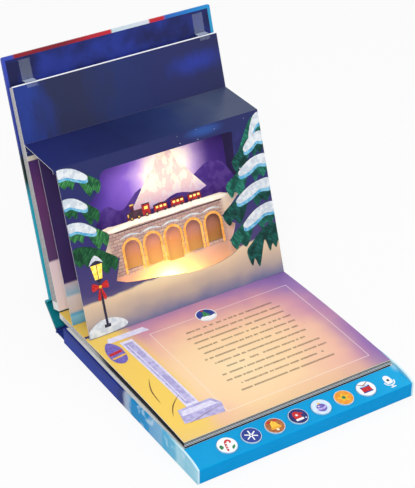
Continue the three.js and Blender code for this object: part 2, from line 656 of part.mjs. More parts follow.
// The lower leaves lie on the deck, open at their edges and joined in the gutter; the top leaf bows up
function lowerPagesGeometry() {
  const half = PAGE_WIDTH / 2;
  const rootFront = PAGE_REAR_Y - 7;
  const base = CASE_HEIGHT + GAP;
  const pitch = LEAF + LOWER_SLIT;
  const topRest = base + (LEAF_COUNT - 1) * pitch;
  let block = null;
  for (let i = 0; i < LEAF_COUNT; i += 1) {
    const bottom = base + i * pitch;
    const bow = i === LEAF_COUNT - 1 ? LOWER_BOW : 0;
    const lift = (y) => bow * Math.sin(Math.PI * Math.min(1, Math.max(0, (y - PAGE_FRONT_Y) / (2 * half * 0.8)))) ** 0.7;
    const stations = bow > 0 ? 12 : 1;
    const line = [];
    for (let k = 0; k <= stations; k += 1) {
      const y = PAGE_FRONT_Y + i * 0.25 + ((rootFront + 1 - PAGE_FRONT_Y) * k) / stations;
      line.push([y, bottom + (bow > 0 ? lift(y) : 0)]);
    }
    const leaf = solid(alongX(folded(line, LEAF), -half, half));
    block = block ? block.add(leaf) : leaf;
  }
  block = block.add(solid(box(-half, half, rootFront, PAGE_REAR_Y, base, topRest + LEAF)));
  block = block.subtract(solid(upright(LAMP_HOLE, LAMP_X, LAMP_Y, 0, LEAF_FOOT_Z + 10, 20)));
  return geometryOf(block);
}

// The leaf frame lies on the open spread's upper page: local Y runs up the page, local Z faces the reader
const leafFrame = new THREE.Group();
leafFrame.position.set(0, LEAF_FOOT_Y, LEAF_FOOT_Z);
leafFrame.rotation.x = toRadians(90 - LEAF_LEAN);
book.add(leafFrame);
leafFrame.updateMatrixWorld(true);

function upperPagesGeometry() {
  const half = PAGE_WIDTH / 2;
  const rootTop = 9;
  let block = solid(box(-half, half, 0, rootTop, -UPPER_ROOT_THICKNESS, 0));
  const rootPitch = (UPPER_ROOT_THICKNESS - LEAF) / (LEAF_COUNT - 1);
  const edgePitch = (UPPER_EDGE_THICKNESS - LEAF) / (LEAF_COUNT - 1);
  for (let i = 0; i < LEAF_COUNT; i += 1) {
    const top = PAGE_LENGTH - i * 0.5;
    const near = -i * rootPitch;
    const far = -i * edgePitch;
    const leaf = polygon([
      [rootTop - 1, near], [top, far], [top, far - LEAF], [rootTop - 1, near - LEAF],
    ].map(([s, n]) => [s, n]).reverse());
    block = block.add(solid(alongX(leaf, -half, half)));
  }
  return geometryOf(block);
}

function buildPages() {
  place('lower_pages', lowerPagesGeometry(), printedPaper());
  place('upper_pages', upperPagesGeometry(), printedPaper(), leafFrame);
}

// The pop-up is a card box folded from one sheet, glued to both open pages, with two layers inside it
const panelFoot = new THREE.Vector2(LEAF_FOOT_Y - POPUP_DEPTH, 0);

function pageTopAt(y) {
  const pitch = LEAF + LOWER_SLIT;
  const rest = CASE_HEIGHT + GAP + (LEAF_COUNT - 1) * pitch + LEAF;
  const share = Math.min(1, Math.max(0, (y - PAGE_FRONT_Y) / (PAGE_WIDTH * 0.8)));
  return rest + LOWER_BOW * Math.sin(Math.PI * share) ** 0.7;
}

function climb(foot, distance) {
  return [
    foot[0] + Math.sin(toRadians(LEAF_LEAN)) * distance,
    foot[1] + Math.cos(toRadians(LEAF_LEAN)) * distance,
  ];
}

// The window's outline in (x, height up the panel): drifted snow below, tiers of fir boughs each side
function windowShape() {
  const shape = new THREE.Shape();
  shape.moveTo(-62, 163);
  shape.lineTo(78, 163);
  shape.quadraticCurveTo(88, 163, 88, 153);
  shape.lineTo(88, 139);
  const rightTiers = [[78, 131, 88, 122], [66, 108, 80, 98], [56, 80, 70, 68], [60, 52, 72, 42]];
  for (const [tipX, tipS, inX, inS] of rightTiers) {
    shape.quadraticCurveTo(tipX + 6, tipS + 3, tipX, tipS);
    shape.quadraticCurveTo(tipX + 4, tipS - 6, inX, inS);
  }
  shape.bezierCurveTo(56, 30, 20, 30, -8, 36);
  shape.bezierCurveTo(-36, 43, -58, 40, -74, 50);
  const leftTiers = [[-66, 72, -80, 82], [-72, 98, -86, 108], [-78, 124, -90, 133]];
  for (const [tipX, tipS, inX, inS] of leftTiers) {
    shape.quadraticCurveTo(tipX - 3, tipS - 8, tipX, tipS);
    shape.quadraticCurveTo(tipX - 6, tipS + 3, inX, inS);
  }
  shape.quadraticCurveTo(-74, 142, -72, 153);
  shape.quadraticCurveTo(-70, 163, -62, 163);
  return shape;
}

function popupBoxGeometry() {
  const half = PAGE_WIDTH / 2;
  const footY = panelFoot.x;
  const footZ = pageTopAt(footY) + GAP;
  const panelTop = climb([footY, footZ], POPUP_HEIGHT);
  const leafAt = (height, clearance) => {
    const along = (height - LEAF_FOOT_Z) * Math.tan(toRadians(LEAF_LEAN));
    return LEAF_FOOT_Y + along - clearance / Math.cos(toRadians(LEAF_LEAN));
  };
  const rearY = leafAt(panelTop[1], GAP);
  const flapFoot = climb([rearY, panelTop[1]], -GLUE_FLAP);
  const flapStart = footY + FOOT_FLAP;
  const line = [
    [flapStart, Math.max(footZ, pageTopAt(flapStart) + GAP)],
    [footY, footZ],
    panelTop,
    [rearY, panelTop[1]],
    flapFoot,
  ];
  let card = solid(alongX(folded([...line].reverse(), CARD), -half, half));
  const cutterFrame = new THREE.Matrix4().makeRotationX(toRadians(90 - LEAF_LEAN));
  cutterFrame.setPosition(0, footY, footZ);
  const window = extrude(windowShape(), 12, 5).translate(0, 0, -6).applyMatrix4(cutterFrame);
  card = card.subtract(solid(window));
  const edge = box(-half - 1, -half + POPUP_SIDE_INSET, -4, POPUP_HEIGHT - 4, -4, 4).applyMatrix4(cutterFrame);
  card = card.subtract(solid(edge));
  return geometryOf(card);
}

// A layer stands parallel to the front panel, at a share of the box's depth from front to back
function layerFrame(share) {
  const frame = new THREE.Group();
  const y = panelFoot.x + POPUP_DEPTH * share;
  frame.position.set(0, y, pageTopAt(y) + GAP);
  frame.rotation.x = toRadians(90 - LEAF_LEAN);
  book.add(frame);
  return frame;
}

function skyShape() {
  const top = POPUP_HEIGHT - 2.5;
  return polygon([[-PAGE_WIDTH / 2, 0.6], [88, 0.6], [88, top], [-PAGE_WIDTH / 2, top]]);
}

// Low hills carry a stone viaduct with open arches; a small train stands on it
function sceneryShape() {
  const shape = new THREE.Shape();
  const road = 96;
  shape.moveTo(-94, 0);
  shape.lineTo(112, 0);
  shape.lineTo(112, 78);
  shape.bezierCurveTo(96, 92, 84, 96, 74, 93);
  shape.lineTo(66, road);
  shape.lineTo(52, road);
  const cars = [[44, 8], [24, 8], [4, 8]];
  for (const [right, height] of cars) {
    shape.lineTo(right, road);
    shape.lineTo(right, road + height);
    shape.quadraticCurveTo(right - 8, road + height + 2.5, right - 16, road + height);
    shape.lineTo(right - 16, road);
  }
  shape.lineTo(-16, road);
  shape.lineTo(-16, road + 13);
  shape.lineTo(-25, road + 13);
  shape.lineTo(-25, road + 9);
  shape.lineTo(-34, road + 9);
  shape.lineTo(-34, road + 16);
  shape.lineTo(-38, road + 16);
  shape.lineTo(-38, road + 8);
  shape.quadraticCurveTo(-43, road + 7, -43, road);
  shape.lineTo(-60, road);
  shape.bezierCurveTo(-72, road + 4, -84, road - 6, -94, road - 14);
  shape.closePath();
  for (let i = 0; i < 5; i += 1) {
    const middle = -44 + i * 24;
    const radius = 8.5;
    const spring = 68;
    const foot = 42 - Math.abs(i - 2) * -3;
    const arch = new THREE.Path();
    arch.moveTo(middle - radius, foot);
    arch.lineTo(middle + radius, foot);
    arch.lineTo(middle + radius, spring);
    arch.absarc(middle, spring, radius, 0, Math.PI);
    arch.lineTo(middle - radius, foot);
    shape.holes.push(arch);
  }
  return shape;
}

function buildPopup() {
  place('popup_box', popupBoxGeometry(), printedCard());
  place('popup_sky', extrude(skyShape(), CARD), printedCard(), layerFrame(SKY_SHARE));
  place('popup_scenery', extrude(sceneryShape(), CARD, 6), printedCard(), layerFrame(SCENERY_SHARE));
}

// The cover frame lies on the board's inner face, local Y up the board and local Z towards the pages
const coverFrame = new THREE.Group();
coverFrame.position.set(0, COVER_FOOT_Y, COVER_FOOT_Z);
coverFrame.rotation.x = toRadians(90 - COVER_LEAN);
book.add(coverFrame);

function strapGeometry() {
  const width = 12;
  const film = 0.5;
  const pagesTop = PAGE_LENGTH + GAP;
  const coverAngle = toRadians(LEAF_LEAN - COVER_LEAN);
  const toLeaf = ([s, n]) => {
    const y = COVER_FOOT_Y - LEAF_FOOT_Y;
    const z = COVER_FOOT_Z - LEAF_FOOT_Z;
    const lean = toRadians(LEAF_LEAN);
    const upShift = y * Math.sin(lean) + z * Math.cos(lean);
    const outShift = -y * Math.cos(lean) + z * Math.sin(lean);
    return [
      upShift + s * Math.cos(coverAngle) - n * Math.sin(coverAngle),
      outShift + s * Math.sin(coverAngle) + n * Math.cos(coverAngle),
    ];
  };
  const onCover = toLeaf([COVER_LENGTH - 6, GAP]);
  const coverOut = toLeaf([COVER_LENGTH - 28, GAP]);
  const line = [
    onCover,
    [pagesTop + 1.5, coverOut[1] + 0.2],
    [pagesTop, -1],
    [pagesTop, GAP],
    [pagesTop - 5, GAP],
  ];
  return alongX(folded([...line].reverse(), film), -width / 2, width / 2);
}

function buildCover() {
  const half = COVER_WIDTH / 2;
  const board = extrude(roundedRectangle(-half, half, 0, COVER_LENGTH, 2), COVER_BOARD, 4)
    .translate(0, 0, -COVER_BOARD);
  place('front_cover', board, coverPaper(), coverFrame);
  const strapXs = [['strap_left', -97], ['strap_right', 103]];
  for (const [name, x] of strapXs) {
    const strap = place(name, strapGeometry(), clearFilm(), leafFrame);
    strap.position.x = x;
  }
}

// The spine board leans out between two paper hinges: one glued under the case's rear edge, one to the cover
function buildSpine() {
  const half = COVER_WIDTH / 2 + 1;
  const spine = new THREE.Group();
  spine.position.set(0, SPINE_AXIS_Y, SPINE_AXIS_Z);
  spine.rotation.x = toRadians(SPINE_ANGLE);
  book.add(spine);
  place('spine_board', box(-half, half, 1, SPINE_LENGTH, -SPINE_BOARD / 2, SPINE_BOARD / 2), coverPaper(), spine);

  const wallFoot = REAR_Y + GAP;
  const hingeLine = [
    [SPINE_AXIS_Y - 0.8, GAP],
    [wallFoot, GAP],
    [wallFoot, CASE_HEIGHT - 5],
  ];
  place('case_hinge_paper', alongX(folded([...hingeLine].reverse(), WRAP_PAPER), -half, half), coverPaper());

  const spineTop = [
    SPINE_AXIS_Y + Math.cos(toRadians(SPINE_ANGLE)) * SPINE_LENGTH,
    SPINE_AXIS_Z + Math.sin(toRadians(SPINE_ANGLE)) * SPINE_LENGTH,
  ];
  const boardFoot = [
    COVER_FOOT_Y + Math.cos(toRadians(COVER_LEAN)) * (COVER_BOARD / 2),
    COVER_FOOT_Z - Math.sin(toRadians(COVER_LEAN)) * (COVER_BOARD / 2),
  ];
  const run = new THREE.Vector2(boardFoot[0] - spineTop[0], boardFoot[1] - spineTop[1]);
  const along = run.clone().normalize().multiplyScalar(2 * GAP);
  const middle = [
    (spineTop[0] + boardFoot[0]) / 2 - run.y * 0.12,
    (spineTop[1] + boardFoot[1]) / 2 + run.x * 0.12,
  ];
  const paperLine = [
    [spineTop[0] + along.x, spineTop[1] + along.y + SPINE_BOARD / 2],
    middle,
    [boardFoot[0] - along.x, boardFoot[1] - along.y],
  ];
  place('cover_hinge_paper', alongX(folded(paperLine, WRAP_PAPER), -half, half), coverPaper());
}

buildTray();
buildDeck();
buildConsole();
buildScrews();
buildBatteries();
buildSpeaker();
buildLamp();
buildSwitch();
buildPages();
buildPopup();
buildCover();
buildSpine();

function buildTray() {
  place('case_tray', trayGeometry(), printedCase());
}

export default book;
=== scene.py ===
# Pop-up sound book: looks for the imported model. Metres in Blender; prints are laid out in mm.
import math

import bpy
import bmesh
from mathutils import Matrix, Vector
from mathutils.geometry import tessellate_polygon


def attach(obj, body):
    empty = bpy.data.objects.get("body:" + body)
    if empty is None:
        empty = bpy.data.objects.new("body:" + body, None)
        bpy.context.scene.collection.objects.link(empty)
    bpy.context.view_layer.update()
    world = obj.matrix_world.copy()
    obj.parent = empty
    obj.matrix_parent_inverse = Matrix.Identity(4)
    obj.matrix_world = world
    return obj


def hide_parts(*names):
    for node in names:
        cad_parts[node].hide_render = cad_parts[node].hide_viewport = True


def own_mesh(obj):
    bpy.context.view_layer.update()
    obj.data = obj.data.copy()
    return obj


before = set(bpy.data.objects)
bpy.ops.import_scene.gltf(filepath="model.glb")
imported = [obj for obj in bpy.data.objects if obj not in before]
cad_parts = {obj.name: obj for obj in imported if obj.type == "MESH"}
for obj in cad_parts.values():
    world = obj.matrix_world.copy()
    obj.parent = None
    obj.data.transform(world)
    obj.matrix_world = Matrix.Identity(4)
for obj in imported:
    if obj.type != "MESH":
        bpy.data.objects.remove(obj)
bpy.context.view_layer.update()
scene = bpy.context.scene

# Camera and light
# The camera was solved from the straight edges of the book in the photograph. The floor glows a
# little, so that only a faint contact shadow shows on the white ground.
view_down = 32.464
view_turn = 32.175
eye = bpy.data.cameras.new("view_camera")
eye.sensor_fit = "HORIZONTAL"
eye.sensor_width = 36.0
eye.lens = 140.31
eye.shift_x = 0.00296
eye.shift_y = -0.01169
camera = bpy.data.objects.new("view_camera", eye)
camera.location = (-0.7094, -1.07506, 0.97175)
camera.rotation_euler = (math.radians(90 - view_down), 0.0, math.radians(-view_turn))
scene.collection.objects.link(camera)
scene.camera = camera
scene.view_settings.view_transform = "Standard"
scene.view_settings.look = "None"


def seen_directly(tree):
    """A share that is 1 for camera, mirror and see-through rays, which all see the white ground."""
    ray = tree.nodes.new("ShaderNodeLightPath")
    glossy = tree.nodes.new("ShaderNodeMath")
    glossy.operation = "MAXIMUM"
    clear = tree.nodes.new("ShaderNodeMath")
    clear.operation = "MAXIMUM"
    tree.links.new(ray.outputs["Is Camera Ray"], glossy.inputs[0])
    tree.links.new(ray.outputs["Is Glossy Ray"], glossy.inputs[1])
    tree.links.new(glossy.outputs[0], clear.inputs[0])
    tree.links.new(ray.outputs["Is Transmission Ray"], clear.inputs[1])
    return clear.outputs[0]


world = bpy.data.worlds.new("studio")
world.use_nodes = True
scene.world = world
world_nodes = world.node_tree.nodes
world_nodes.clear()
studio_white = world_nodes.new("ShaderNodeBackground")
studio_white.inputs["Color"].default_value = (1.0, 1.0, 1.0, 1.0)
studio_fill = world_nodes.new("ShaderNodeBackground")
studio_fill.inputs["Color"].default_value = (0.93, 0.96, 1.0, 1.0)
studio_fill.inputs["Strength"].default_value = 0.55
choose = world_nodes.new("ShaderNodeMixShader")
world_out = world_nodes.new("ShaderNodeOutputWorld")
world.node_tree.links.new(seen_directly(world.node_tree), choose.inputs[0])
world.node_tree.links.new(studio_fill.outputs[0], choose.inputs[1])
world.node_tree.links.new(studio_white.outputs[0], choose.inputs[2])
world.node_tree.links.new(choose.outputs[0], world_out.inputs[0])


def area_light(name, place, target, size, power, colour=(1.0, 1.0, 1.0)):
    lamp = bpy.data.lights.new(name, "AREA")
    lamp.size = size
    lamp.energy = power
    lamp.color = colour
    holder = bpy.data.objects.new(name, lamp)
    holder.location = place
    aim = Vector(target) - Vector(place)
    holder.rotation_euler = aim.to_track_quat("-Z", "Y").to_euler()
    scene.collection.objects.link(holder)


area_light("key_softbox", (-0.9, -1.1, 1.5), (0.0, 0.0, 0.08), 0.8, 18.5, (1.0, 0.98, 0.95))
area_light("fill_softbox", (1.3, -0.9, 0.9), (0.0, 0.0, 0.08), 1.2, 4.5)
area_light("top_softbox", (0.1, 0.5, 1.6), (0.0, 0.05, 0.1), 1.0, 6.0, (0.95, 0.97, 1.0))

floor_reach = 6.0
floor_glow = 0.88
floor_corners = [(-floor_reach, -floor_reach, 0), (floor_reach, -floor_reach, 0),
                 (floor_reach, floor_reach, 0), (-floor_reach, floor_reach, 0)]
ground = bpy.data.meshes.new("studio_floor")
ground.from_pydata(floor_corners, [], [(0, 1, 2, 3)])
floor = bpy.data.objects.new("studio_floor", ground)
scene.collection.objects.link(floor)
floor_paint = bpy.data.materials.new("studio_floor")
floor_paint.use_nodes = True
floor_nodes = floor_paint.node_tree.nodes
floor_links = floor_paint.node_tree.links
floor_surface = floor_nodes["Principled BSDF"]
floor_surface.inputs["Base Color"].default_value = (0.8, 0.8, 0.8, 1.0)
floor_surface.inputs["Roughness"].default_value = 0.9
floor_surface.inputs["Specular IOR Level"].default_value = 0.0
floor_white = floor_nodes.new("ShaderNodeEmission")
floor_share = floor_nodes.new("ShaderNodeMath")
floor_share.operation = "MULTIPLY"
floor_share.inputs[1].default_value = floor_glow
floor_choose = floor_nodes.new("ShaderNodeMixShader")
floor_links.new(seen_directly(floor_paint.node_tree), floor_share.inputs[0])
floor_links.new(floor_share.outputs[0], floor_choose.inputs[0])
floor_links.new(floor_surface.outputs[0], floor_choose.inputs[1])
floor_links.new(floor_white.outputs[0], floor_choose.inputs[2])
floor_links.new(floor_choose.outputs[0], floor_nodes["Material Output"].inputs[0])
ground.materials.append(floor_paint)


# Case
# The tray is moulded plastic inside a glossy printed wrap: royal blue behind, changing in painted
# patches to pale cyan cheeks in front. The fascia is a printed skin over the sloping button strip,
# and the deck under the pages is bare moulded plastic.
def card_grain():
    """Fibre relief and uneven gloss of laminated card, shared by every printed piece."""
    tree = bpy.data.node_groups.new("card_grain", "ShaderNodeTree")
    for name in ("Roughness", "Relief"):
        tree.interface.new_socket(name, in_out="INPUT", socket_type="NodeSocketFloat")
    tree.interface.new_socket("Roughness", in_out="OUTPUT", socket_type="NodeSocketFloat")
    tree.interface.new_socket("Normal", in_out="OUTPUT", socket_type="NodeSocketVector")
    add, link = tree.nodes.new, tree.links.new
    inputs = add("NodeGroupInput")
    coord = add("ShaderNodeTexCoord")
    fibre = add("ShaderNodeTexNoise")
    fibre.inputs["Scale"].default_value = 1400.0
    fibre.inputs["Detail"].default_value = 3.0
    cloud = add("ShaderNodeTexNoise")
    cloud.inputs["Scale"].default_value = 22.0
    cloud.inputs["Detail"].default_value = 3.0
    bump = add("ShaderNodeBump")
    bump.inputs["Distance"].default_value = 0.0001
    gloss = add("ShaderNodeMapRange")
    gloss.inputs["To Min"].default_value = -0.05
    gloss.inputs["To Max"].default_value = 0.07
    rough = add("ShaderNodeMath")
    rough.operation = "ADD"
    out = add("NodeGroupOutput")
    link(coord.outputs["Object"], fibre.inputs["Vector"])
    link(coord.outputs["Object"], cloud.inputs["Vector"])
    link(fibre.outputs["Fac"], bump.inputs["Height"])
    link(inputs.outputs["Relief"], bump.inputs["Strength"])
    link(cloud.outputs["Fac"], gloss.inputs["Value"])
    link(gloss.outputs[0], rough.inputs[0])
    link(inputs.outputs["Roughness"], rough.inputs[1])
    link(rough.outputs[0], out.inputs["Roughness"])
    link(bump.outputs[0], out.inputs["Normal"])
    return tree


grain_tree = card_grain()


def rgb(code):
    """A colour code as the linear values that the sockets take."""
    parts = [int(code[i:i + 2], 16) / 255 for i in (0, 2, 4)]
    return tuple(c / 12.92 if c < 0.04045 else ((c + 0.055) / 1.055) ** 2.4 for c in parts) + (1.0,)


class Print:
    """A material whose colour is built from fields over the piece's own coordinates, in mm."""

    def __init__(self, name, roughness=0.4, relief=0.06, gloss=0.14):
        self.mat = bpy.data.materials.new(name)
        self.mat.use_nodes = True
        self.tree = self.mat.node_tree
        self.tree.nodes.clear()
        self.surface = self.add("ShaderNodeBsdfPrincipled")
        self.surface.inputs["Specular IOR Level"].default_value = gloss
        grain = self.add("ShaderNodeGroup")
        grain.node_tree = grain_tree
        grain.inputs["Roughness"].default_value = roughness
        grain.inputs["Relief"].default_value = relief
        out = self.add("ShaderNodeOutputMaterial")
        self.link(grain.outputs["Roughness"], self.surface.inputs["Roughness"])
        self.link(grain.outputs["Normal"], self.surface.inputs["Normal"])
        self.link(self.surface.outputs[0], out.inputs[0])
        coord = self.add("ShaderNodeTexCoord")
        self.at = self.vector("SCALE", coord.outputs["Object"], scale=1000.0)
        self.facing = coord.outputs["Normal"]
        split = self.add("ShaderNodeSeparateXYZ")
        self.link(self.at, split.inputs[0])
        self.x, self.y, self.z = split.outputs

    def add(self, kind):
        return self.tree.nodes.new(kind)

    def link(self, a, b):
        self.tree.links.new(a, b)

    def feed(self, socket, value):
        if isinstance(value, bpy.types.NodeSocket):
            self.link(value, socket)
        elif isinstance(value, str):
            socket.default_value = rgb(value)
        else:
            socket.default_value = value

    def vector(self, operation, a, b=(0.0, 0.0, 0.0), scale=1.0):
        node = self.add("ShaderNodeVectorMath")
        node.operation = operation
        self.feed(node.inputs[0], a)
        if operation == "SCALE":
            node.inputs["Scale"].default_value = scale
        else:
            self.feed(node.inputs[1], b)
        return node.outputs["Value" if operation in ("DOT_PRODUCT", "LENGTH") else "Vector"]

    def math(self, operation, a, b=0.0, c=0.0):
        node = self.add("ShaderNodeMath")
        node.operation = operation
        self.feed(node.inputs[0], a)
        self.feed(node.inputs[1], b)
        self.feed(node.inputs[2], c)
        return node.outputs[0]

    def times(self, first, *others):
        product = first
        for share in others:
            product = self.math("MULTIPLY", product, share)
        return product

    def stray(self, value, reach, size, detail=2.0):
        """Adds noise to a value, so that an edge drawn from it wanders as a brushed one does."""
        return self.math("MULTIPLY_ADD", self.noise(size, detail), reach, value)

    def span(self, value, low, high):
        """0 on the low side and 1 on the high side, with a soft step between them."""
        node = self.add("ShaderNodeMapRange")
        node.interpolation_type = "SMOOTHSTEP"
        self.feed(node.inputs["Value"], value)
        node.inputs["From Min"].default_value = low
        node.inputs["From Max"].default_value = high
        return node.outputs[0]

    def band(self, value, low, high, soft=0.3):
        rise = self.span(value, low - soft, low + soft)
        fall = self.span(value, high + soft, high - soft)
        return self.times(rise, fall)

    def mix(self, share, a, b):
        node = self.add("ShaderNodeMix")
        node.data_type = "RGBA"
        self.feed(node.inputs[0], share)
        self.feed(node.inputs[6], a)
        self.feed(node.inputs[7], b)
        return node.outputs[2]

    def ramp(self, value, low, high, stops):
        scaled = self.add("ShaderNodeMapRange")
        self.feed(scaled.inputs["Value"], value)
        scaled.inputs["From Min"].default_value = low
        scaled.inputs["From Max"].default_value = high
        node = self.add("ShaderNodeValToRGB")
        self.link(scaled.outputs[0], node.inputs[0])
        marks = node.color_ramp.elements
        while len(marks) < len(stops):
            marks.new(0.5)
        for mark, (place, colour) in zip(marks, stops):
            mark.position = (place - low) / (high - low)
            mark.color = rgb(colour)
        return node.outputs[0]

    def noise(self, size, detail=2.0, at=None, rough=0.5):
        node = self.add("ShaderNodeTexNoise")
        self.link(at or self.at, node.inputs["Vector"])
        node.inputs["Scale"].default_value = 1.0 / size
        node.inputs["Detail"].default_value = detail
        node.inputs["Roughness"].default_value = rough
        return node.outputs["Fac"]

    def point(self, a, b, c=0.0):
        node = self.add("ShaderNodeCombineXYZ")
        for socket, value in zip(node.inputs, (a, b, c)):
            self.feed(socket, value)
        return node.outputs[0]

    def away(self, a, b, centre, radii):
        """Distance from a centre, with 1 on the ellipse of those radii."""
        u = self.math("DIVIDE", self.math("SUBTRACT", a, centre[0]), radii[0])
        v = self.math("DIVIDE", self.math("SUBTRACT", b, centre[1]), radii[1])
        return self.vector("LENGTH", self.point(u, v))

    def climb(self, plane):
        """Height up a leaning plane."""
        return self.vector("DOT_PRODUCT", self.vector("SUBTRACT", self.at, plane["foot"]), plane["up"])

    def depth(self, plane):
        """Distance out of a leaning plane, towards the reader."""
        return self.vector("DOT_PRODUCT", self.vector("SUBTRACT", self.at, plane["foot"]), plane["out"])

    def faces(self, direction, least=0.7):
        return self.math("GREATER_THAN", self.vector("DOT_PRODUCT", self.facing, direction), least)

    def dots(self, a, b, size, spread, chance):
        """Small round specks, such as stars and snow, in a share of the cells of a loose grid."""
        node = self.add("ShaderNodeTexVoronoi")
        self.link(self.point(a, b), node.inputs["Vector"])
        node.inputs["Scale"].default_value = 1.0 / spread
        near = self.span(node.outputs["Distance"], size / spread, 0.5 * size / spread)
        split = self.add("ShaderNodeSeparateColor")
        self.link(node.outputs["Color"], split.inputs[0])
        return self.times(near, self.math("LESS_THAN", split.outputs[0], chance))

    def done(self, colour, glow=0.0):
        """Sets the colour and how much of the piece glows, as painted light: where a lamp shines through or
        on it, or where a highlight is painted.
        """
        self.feed(self.surface.inputs["Base Color"], colour)
        if isinstance(glow, bpy.types.NodeSocket):
            colour = self.mix(glow, "000000", colour)
            glow = 1.0
        if glow:
            self.feed(self.surface.inputs["Emission Color"], colour)
            self.surface.inputs["Emission Strength"].default_value = glow
        return self.mat


def dress(node, material):
    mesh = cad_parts[node].data
    mesh.materials.clear()
    mesh.materials.append(material)


case_front = -128.5
art = Print("case_wrap", 0.34, gloss=0.05)
wrap = art.ramp(art.stray(art.y, 7.0, 9.0, 3.0), case_front, -case_front, [
    (case_front, "a5d8e8"), (-106, "93cfe4"), (-90, "a9d9ea"), (-84, "6dbbdc"), (-66, "4fb2dc"),
    (-60, "7fb8dc"), (-40, "6ba8d6"), (-36, "1492cc"), (-6, "0c8cca"), (0, "9fbcd6"), (6, "a9b4cc"),
    (12, "1c2c74"), (30, "1a3598"), (128, "1e3aa0")])
# Painted shade: the wrap darkens to navy towards the top at the rear, under the pages.
painted_shade = art.times(art.span(art.z, 9.0, 18.0), art.span(art.y, 10.0, 40.0), 0.55)
wrap = art.mix(painted_shade, wrap, "16225e")
snow = art.times(art.dots(art.y, art.z, 0.55, 9.0, 0.35), art.span(art.y, 14.0, 24.0))
wrap = art.mix(snow, wrap, "eef4ff")
streak = art.times(art.span(art.noise(11.0), 0.56, 0.7), art.span(art.y, 12.0, -10.0), 0.5)
wrap = art.mix(streak, wrap, "d8eef6")
# Painted highlight: the wrap's top and front faces are paler towards the front than its side.
painted_edge_highlight = art.math("MAXIMUM", art.faces((0, 0, 1), 0.3), art.faces((0, -1, 0), 0.6))
wrap = art.mix(art.times(painted_edge_highlight, art.span(art.y, -70.0, -98.0)), wrap, "c9e9f2")
moulded = art.mix(art.noise(3.0, 4.0), "d7d8d6", "dfe0de")
dress("case_tray", art.done(art.mix(art.faces((0, 0, -1)), wrap, moulded)))

art = Print("moulded_deck", 0.55, 0.25)
dress("case_deck", art.done(art.mix(art.noise(5.0, 4.0), "cfcfcd", "dededb")))

art = Print("console_print", 0.26, 0.03, 0.05)
base = art.ramp(art.x, -121, 121, [(-121, "0c98d2"), (-40, "0894d0"), (60, "0e9bd6"), (121, "24a8de")])
base = art.mix(art.times(art.noise(26.0), 0.3), base, "2aacde")
# Painted shade: the front face of the strip gets a darker blue than its top.
base = art.mix(art.faces((0, -1, 0), 0.6), base, art.mix(art.noise(30.0), "0090cf", "0099d8"))
pale_end = art.times(art.span(art.x, 114.0, 120.0), art.span(art.y, -112.0, -101.0), 0.6)
dress("console_fascia", art.done(art.mix(pale_end, base, "b7e3f2")))


# Buttons
# Seven moulded caps stand in holes in the sloping strip, each with a printed disc: a pale ring
# round a small winter picture. A microphone sign is printed round the hole at the right end.
strip_run = 29.3
strip_rise = 3.6
console_slope = math.atan2(strip_rise, strip_run)
console_plane = {"foot": (0.0, case_front, 16.0),
                 "up": (0.0, math.cos(console_slope), math.sin(console_slope)),
                 "out": (0.0, -math.sin(console_slope), math.cos(console_slope))}


def smooth(points, steps=5):
    """A closed curve through every point."""
    line = []
    count = len(points)
    for i in range(count):
        a, b, c, d = (Vector(points[(i + k) % count]) for k in (-1, 0, 1, 2))
        for k in range(steps):
            t = k / steps
            line.append(tuple(0.5 * ((2 * b) + (c - a) * t + (2 * a - 5 * b + 4 * c - d) * t * t
                                     + (3 * b - a - 3 * c + d) * t ** 3)))
    return line


def ring(x, s, rx, rs=None, count=28):
    turn = 2 * math.pi / count
    rs = rs or rx
    return [(x + rx * math.cos(i * turn), s + rs * math.sin(i * turn)) for i in range(count)]


def print_piece(name, plane, shapes, lift, step=0.02, rise=None):
    """Lays flat coloured shapes on a card plane, each a little proud of the one before it."""
    foot, up, out = Vector(plane["foot"]), Vector(plane["up"]), Vector(plane["out"])
    mesh = bpy.data.meshes.new(name)
    work = bmesh.new()
    for layer, (material, outline) in enumerate(shapes):
        if material.name not in mesh.materials:
            mesh.materials.append(material)
        slot = mesh.materials.find(material.name)
        height = lift + layer * step
        corners = []
        for x, s in outline:
            off = height + (rise(s) if rise else 0.0)
            corners.append(work.verts.new((Vector((x, 0.0, 0.0)) + foot + up * s + out * off) / 1000))
        for tri in tessellate_polygon([[Vector((x, s, 0.0)) for x, s in outline]]):
            if len(set(tri)) < 3:
                continue
            face = work.faces.new([corners[i] for i in tri])
            face.normal_update()
            if face.normal.dot(out) < 0:
                face.normal_flip()
            face.material_index = slot
    work.to_mesh(mesh)
    work.free()
    piece = bpy.data.objects.new(name, mesh)
    scene.collection.objects.link(piece)
    return piece


inks = {}


def ink(dark, light=None, size=6.0, roughness=0.4, glow=0.0):
    """A printed ink: one flat colour, or one brushed into another, with a painted glow when one is given."""
    key = f"ink_{dark}_{light}_{size}_{roughness}_{glow}"
    if key not in inks:
        art = Print(key, roughness)
        colour = dark
        if light is not None:
            colour = art.mix(art.span(art.noise(size, 3.0), 0.38, 0.62), dark, light)
        inks[key] = art.done(colour, glow)
    return inks[key]


def star(x, s, outer, inner, points):
    corners = []
    for i in range(2 * points):
        reach = inner if i % 2 else outer
        angle = math.pi / 2 + i * math.pi / points
        corners.append((x + reach * math.cos(angle), s + reach * math.sin(angle)))
    return corners


def moved(outline, x, s):
    return [(x + a, s + b) for a, b in outline]


def bar(x0, s0, x1, s1, width):
    run = Vector((x1 - x0, s1 - s0)).normalized() * (width / 2)
    return [(x0 - run.y, s0 + run.x), (x0 + run.y, s0 - run.x),
            (x1 + run.y, s1 - run.x), (x1 - run.y, s1 + run.x)]


def arc(x, s, radius, angles):
    return [(x + radius * math.cos(t), s + radius * math.sin(t)) for t in angles]


